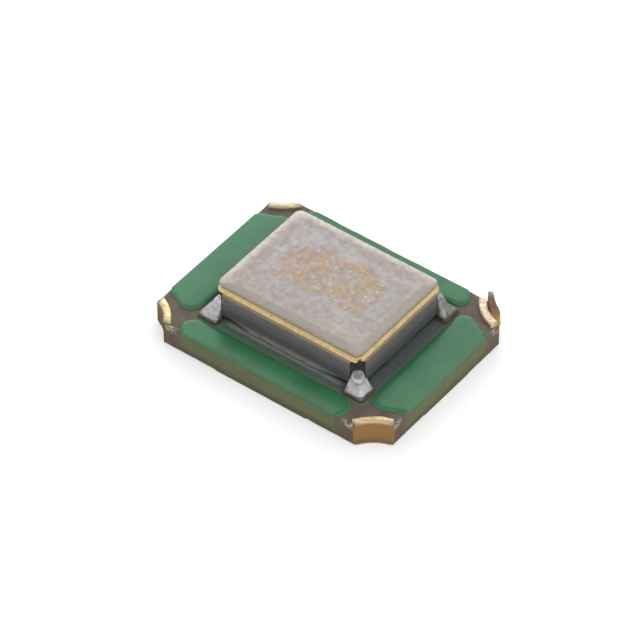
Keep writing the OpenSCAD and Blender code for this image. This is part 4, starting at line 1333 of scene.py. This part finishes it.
@dataclass
class Studio:
    """Floor, world, lamps and the camera, which stands where the photographer's did."""

    turn: float = 37.227
    rise: float = 43.981
    distance: float = 51.84
    lens: float = 262.45
    aim: tuple[float, float, float] = (-0.1966, 0.1064, 0.0)

    def back(self, turn: float, rise: float) -> Vector:
        """Unit vector from the part towards a place at these angles in degrees."""
        a, e = math.radians(turn), math.radians(rise)
        return Vector((math.sin(a) * math.cos(e), -math.cos(a) * math.cos(e), math.sin(e)))

    def make_camera(self) -> None:
        """Camera at the fitted angles."""
        data = bpy.data.cameras.new("camera")
        data.lens = self.lens
        data.sensor_width = 36.0
        data.clip_start = 0.001
        data.clip_end = 10.0
        camera = bpy.data.objects.new("camera", data)
        bpy.context.scene.collection.objects.link(camera)
        back = self.back(self.turn, self.rise)
        camera.location = (Vector(self.aim) + back * self.distance) * MM
        camera.rotation_mode = "QUATERNION"
        camera.rotation_quaternion = (-back).to_track_quat("-Z", "Y")
        bpy.context.scene.camera = camera

    def make_lamp(self, name: str, turn: float, rise: float, size: float, power: float,
                  colour: Colour = (1, 1, 1)) -> None:
        """One square soft lamp 40 mm from the part."""
        data = bpy.data.lights.new(name, "AREA")
        data.shape = "SQUARE"
        data.size = size * MM
        data.energy = power
        data.color = colour
        lamp = bpy.data.objects.new(name, data)
        bpy.context.scene.collection.objects.link(lamp)
        back = self.back(turn, rise)
        lamp.location = back * 40 * MM
        lamp.rotation_mode = "QUATERNION"
        lamp.rotation_quaternion = (-back).to_track_quat("-Z", "Y")

    def make_floor(self) -> None:
        """Pale floor that keeps the part's shadow and shows white to the camera."""
        rows = np.linspace(-60, 60, 9)
        x, y = np.meshgrid(rows, rows, indexing="ij")
        shell = Shell()
        shell.grid(np.stack([x, y, 0 * x - 0.0015], 2), round_u=False)
        mesh = bpy.data.meshes.new("floor")
        mesh.from_pydata((np.concatenate(shell.points) * MM).tolist(), [], shell.quads[0].tolist())
        floor = bpy.data.objects.new("floor", mesh)
        bpy.context.scene.collection.objects.link(floor)
        g = Graph("floor_paper")
        fine = g.noise(4.0, 3)
        g.link(g.mix(g.span(fine, 0.3, 0.7), (0.93, 0.93, 0.93), (0.96, 0.96, 0.96)), "Base Color")
        g.set(Roughness=0.9, Specular_IOR_Level=0.1, Emission_Strength=0.0)
        ray = g.tree.nodes.new("ShaderNodeLightPath")
        g.set(Emission_Color=(1.0, 1.0, 1.0, 1.0))
        seen = g.math("MAXIMUM", ray.outputs["Is Glossy Ray"], ray.outputs["Is Transmission Ray"])
        seen = g.math("MAXIMUM", ray.outputs["Is Camera Ray"], seen)
        g.link(g.math("MULTIPLY", seen, 0.42), "Emission Strength")
        mesh.materials.append(g.material)

    def make_world(self) -> None:
        """Pale surroundings: a bright horizon and a light grey overhead."""
        world = bpy.data.worlds.new("studio")
        world.use_nodes = True
        bpy.context.scene.world = world
        tree = world.node_tree
        tree.nodes.clear()
        out = tree.nodes.new("ShaderNodeOutputWorld")
        place = tree.nodes.new("ShaderNodeTexCoord")
        split = tree.nodes.new("ShaderNodeSeparateXYZ")
        tree.links.new(place.outputs["Generated"], split.inputs[0])
        ramp = tree.nodes.new("ShaderNodeValToRGB")
        stops = ramp.color_ramp.elements
        stops[0].position, stops[0].color = 0.0, (0.95, 0.95, 0.95, 1)
        stops[1].position, stops[1].color = 1.0, (0.55, 0.56, 0.58, 1)
        tree.links.new(split.outputs["Z"], ramp.inputs["Fac"])
        lit = tree.nodes.new("ShaderNodeBackground")
        lit.inputs["Strength"].default_value = 0.85
        tree.links.new(ramp.outputs["Color"], lit.inputs["Color"])
        tree.links.new(lit.outputs[0], out.inputs["Surface"])

    def make(self) -> None:
        """Builds the whole set."""
        self.make_camera()
        self.make_world()
        self.make_floor()
        self.make_lamp("key_lamp", -142, 30, 30, 0.0045)
        self.make_lamp("fill_lamp", 80, 40, 30, 0.002)
        bpy.context.scene.view_settings.view_transform = "Standard"


def dress(node: str, material: bpy.types.Material) -> None:
    """Gives a CAD node that stays its material."""
    mesh = frame["nodes"][node].data
    mesh.materials.clear()
    mesh.materials.append(material)
    LOG.info("%s: dressed", node)


def dress_inside() -> None:
    """Finishes of the sealed and hidden nodes, which keep their CAD shapes."""
    gold = PlainMetalFinish((0.86, 0.68, 0.34), (0.72, 0.54, 0.26), 0.35).make("inner_gold")
    film = PlainMetalFinish((0.9, 0.78, 0.5), (0.82, 0.7, 0.44), 0.2).make("electrode_film")
    glue = PlainMetalFinish((0.5, 0.49, 0.46), (0.36, 0.35, 0.33), 0.6, 0.35, 0.012).make("silver_adhesive")
    silicon = PlainMetalFinish((0.16, 0.17, 0.21), (0.11, 0.12, 0.15), 0.3, 0.6, 0.05).make("silicon")
    finishes = {
        "crystal_track_1": gold, "crystal_track_2": gold, "ic_bumps": gold, "electrode_top": film,
        "electrode_bottom": film, "adhesive_1": glue, "adhesive_2": glue, "ic_die": silicon,
        "quartz_blank": QuartzFinish().make("quartz"),
        "bottom_mask": MaskFinish().make("under_mask"),
    }
    for node, material in finishes.items():
        dress(node, material)


def main() -> None:
    """Builds the set and every piece in order."""
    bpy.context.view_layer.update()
    Studio().make()
    board = CarrierBoard()
    board.make_core(LaminateFinish().make("laminate"))
    board.make_mask(MaskFinish().make("solder_mask"))
    plate = GoldFinish().make("corner_gold")
    torn = CopperFinish().make("torn_copper")
    for k in SIGNS:
        board.make_terminal(k, plate, torn)
    pad_metal = PlainMetalFinish((0.24, 0.2, 0.16), (0.16, 0.13, 0.1), 0.55).make("pad_metal")
    solder = SolderFinish().make("solder")
    streaked = SolderFinish((0.52, 0.5, 0.48), (0.18, 0.165, 0.15), (0.2, 0.165, 0.14)).make("streaked_solder")
    # the groove plating is dark partly as unwetted plating and partly as painted shade of the notch
    groove = PlainMetalFinish((0.1, 0.088, 0.075), (0.065, 0.058, 0.05), 0.5).make("groove_metal")
    for k, climb, full, lump in ((1, 0.2, 0.5, 0.3), (2, 0.18, 0.4, 0.8), (3, 0.28, 0.27, 0.0),
                                 (4, 0.22, 0.32, 0.3)):
        joint = CornerJoint(k, climb, full, lump)
        joint.make_pad(pad_metal)
        joint.make_solder(streaked if k == 3 else solder)
        joint.make_terminal(groove)
    CeramicPackage().make_body(CeramicFinish().make("ceramic"))
    SealRing().make(RingFinish().make("ring_gold"), GoldFinish(roughness=0.4).make("braze_gold"))
    Lid().make(LidFinish().make("nickel"))
    dress_inside()


if __name__ == "__main__":
    logging.basicConfig(level=logging.INFO, format="%(message)s")
    main()
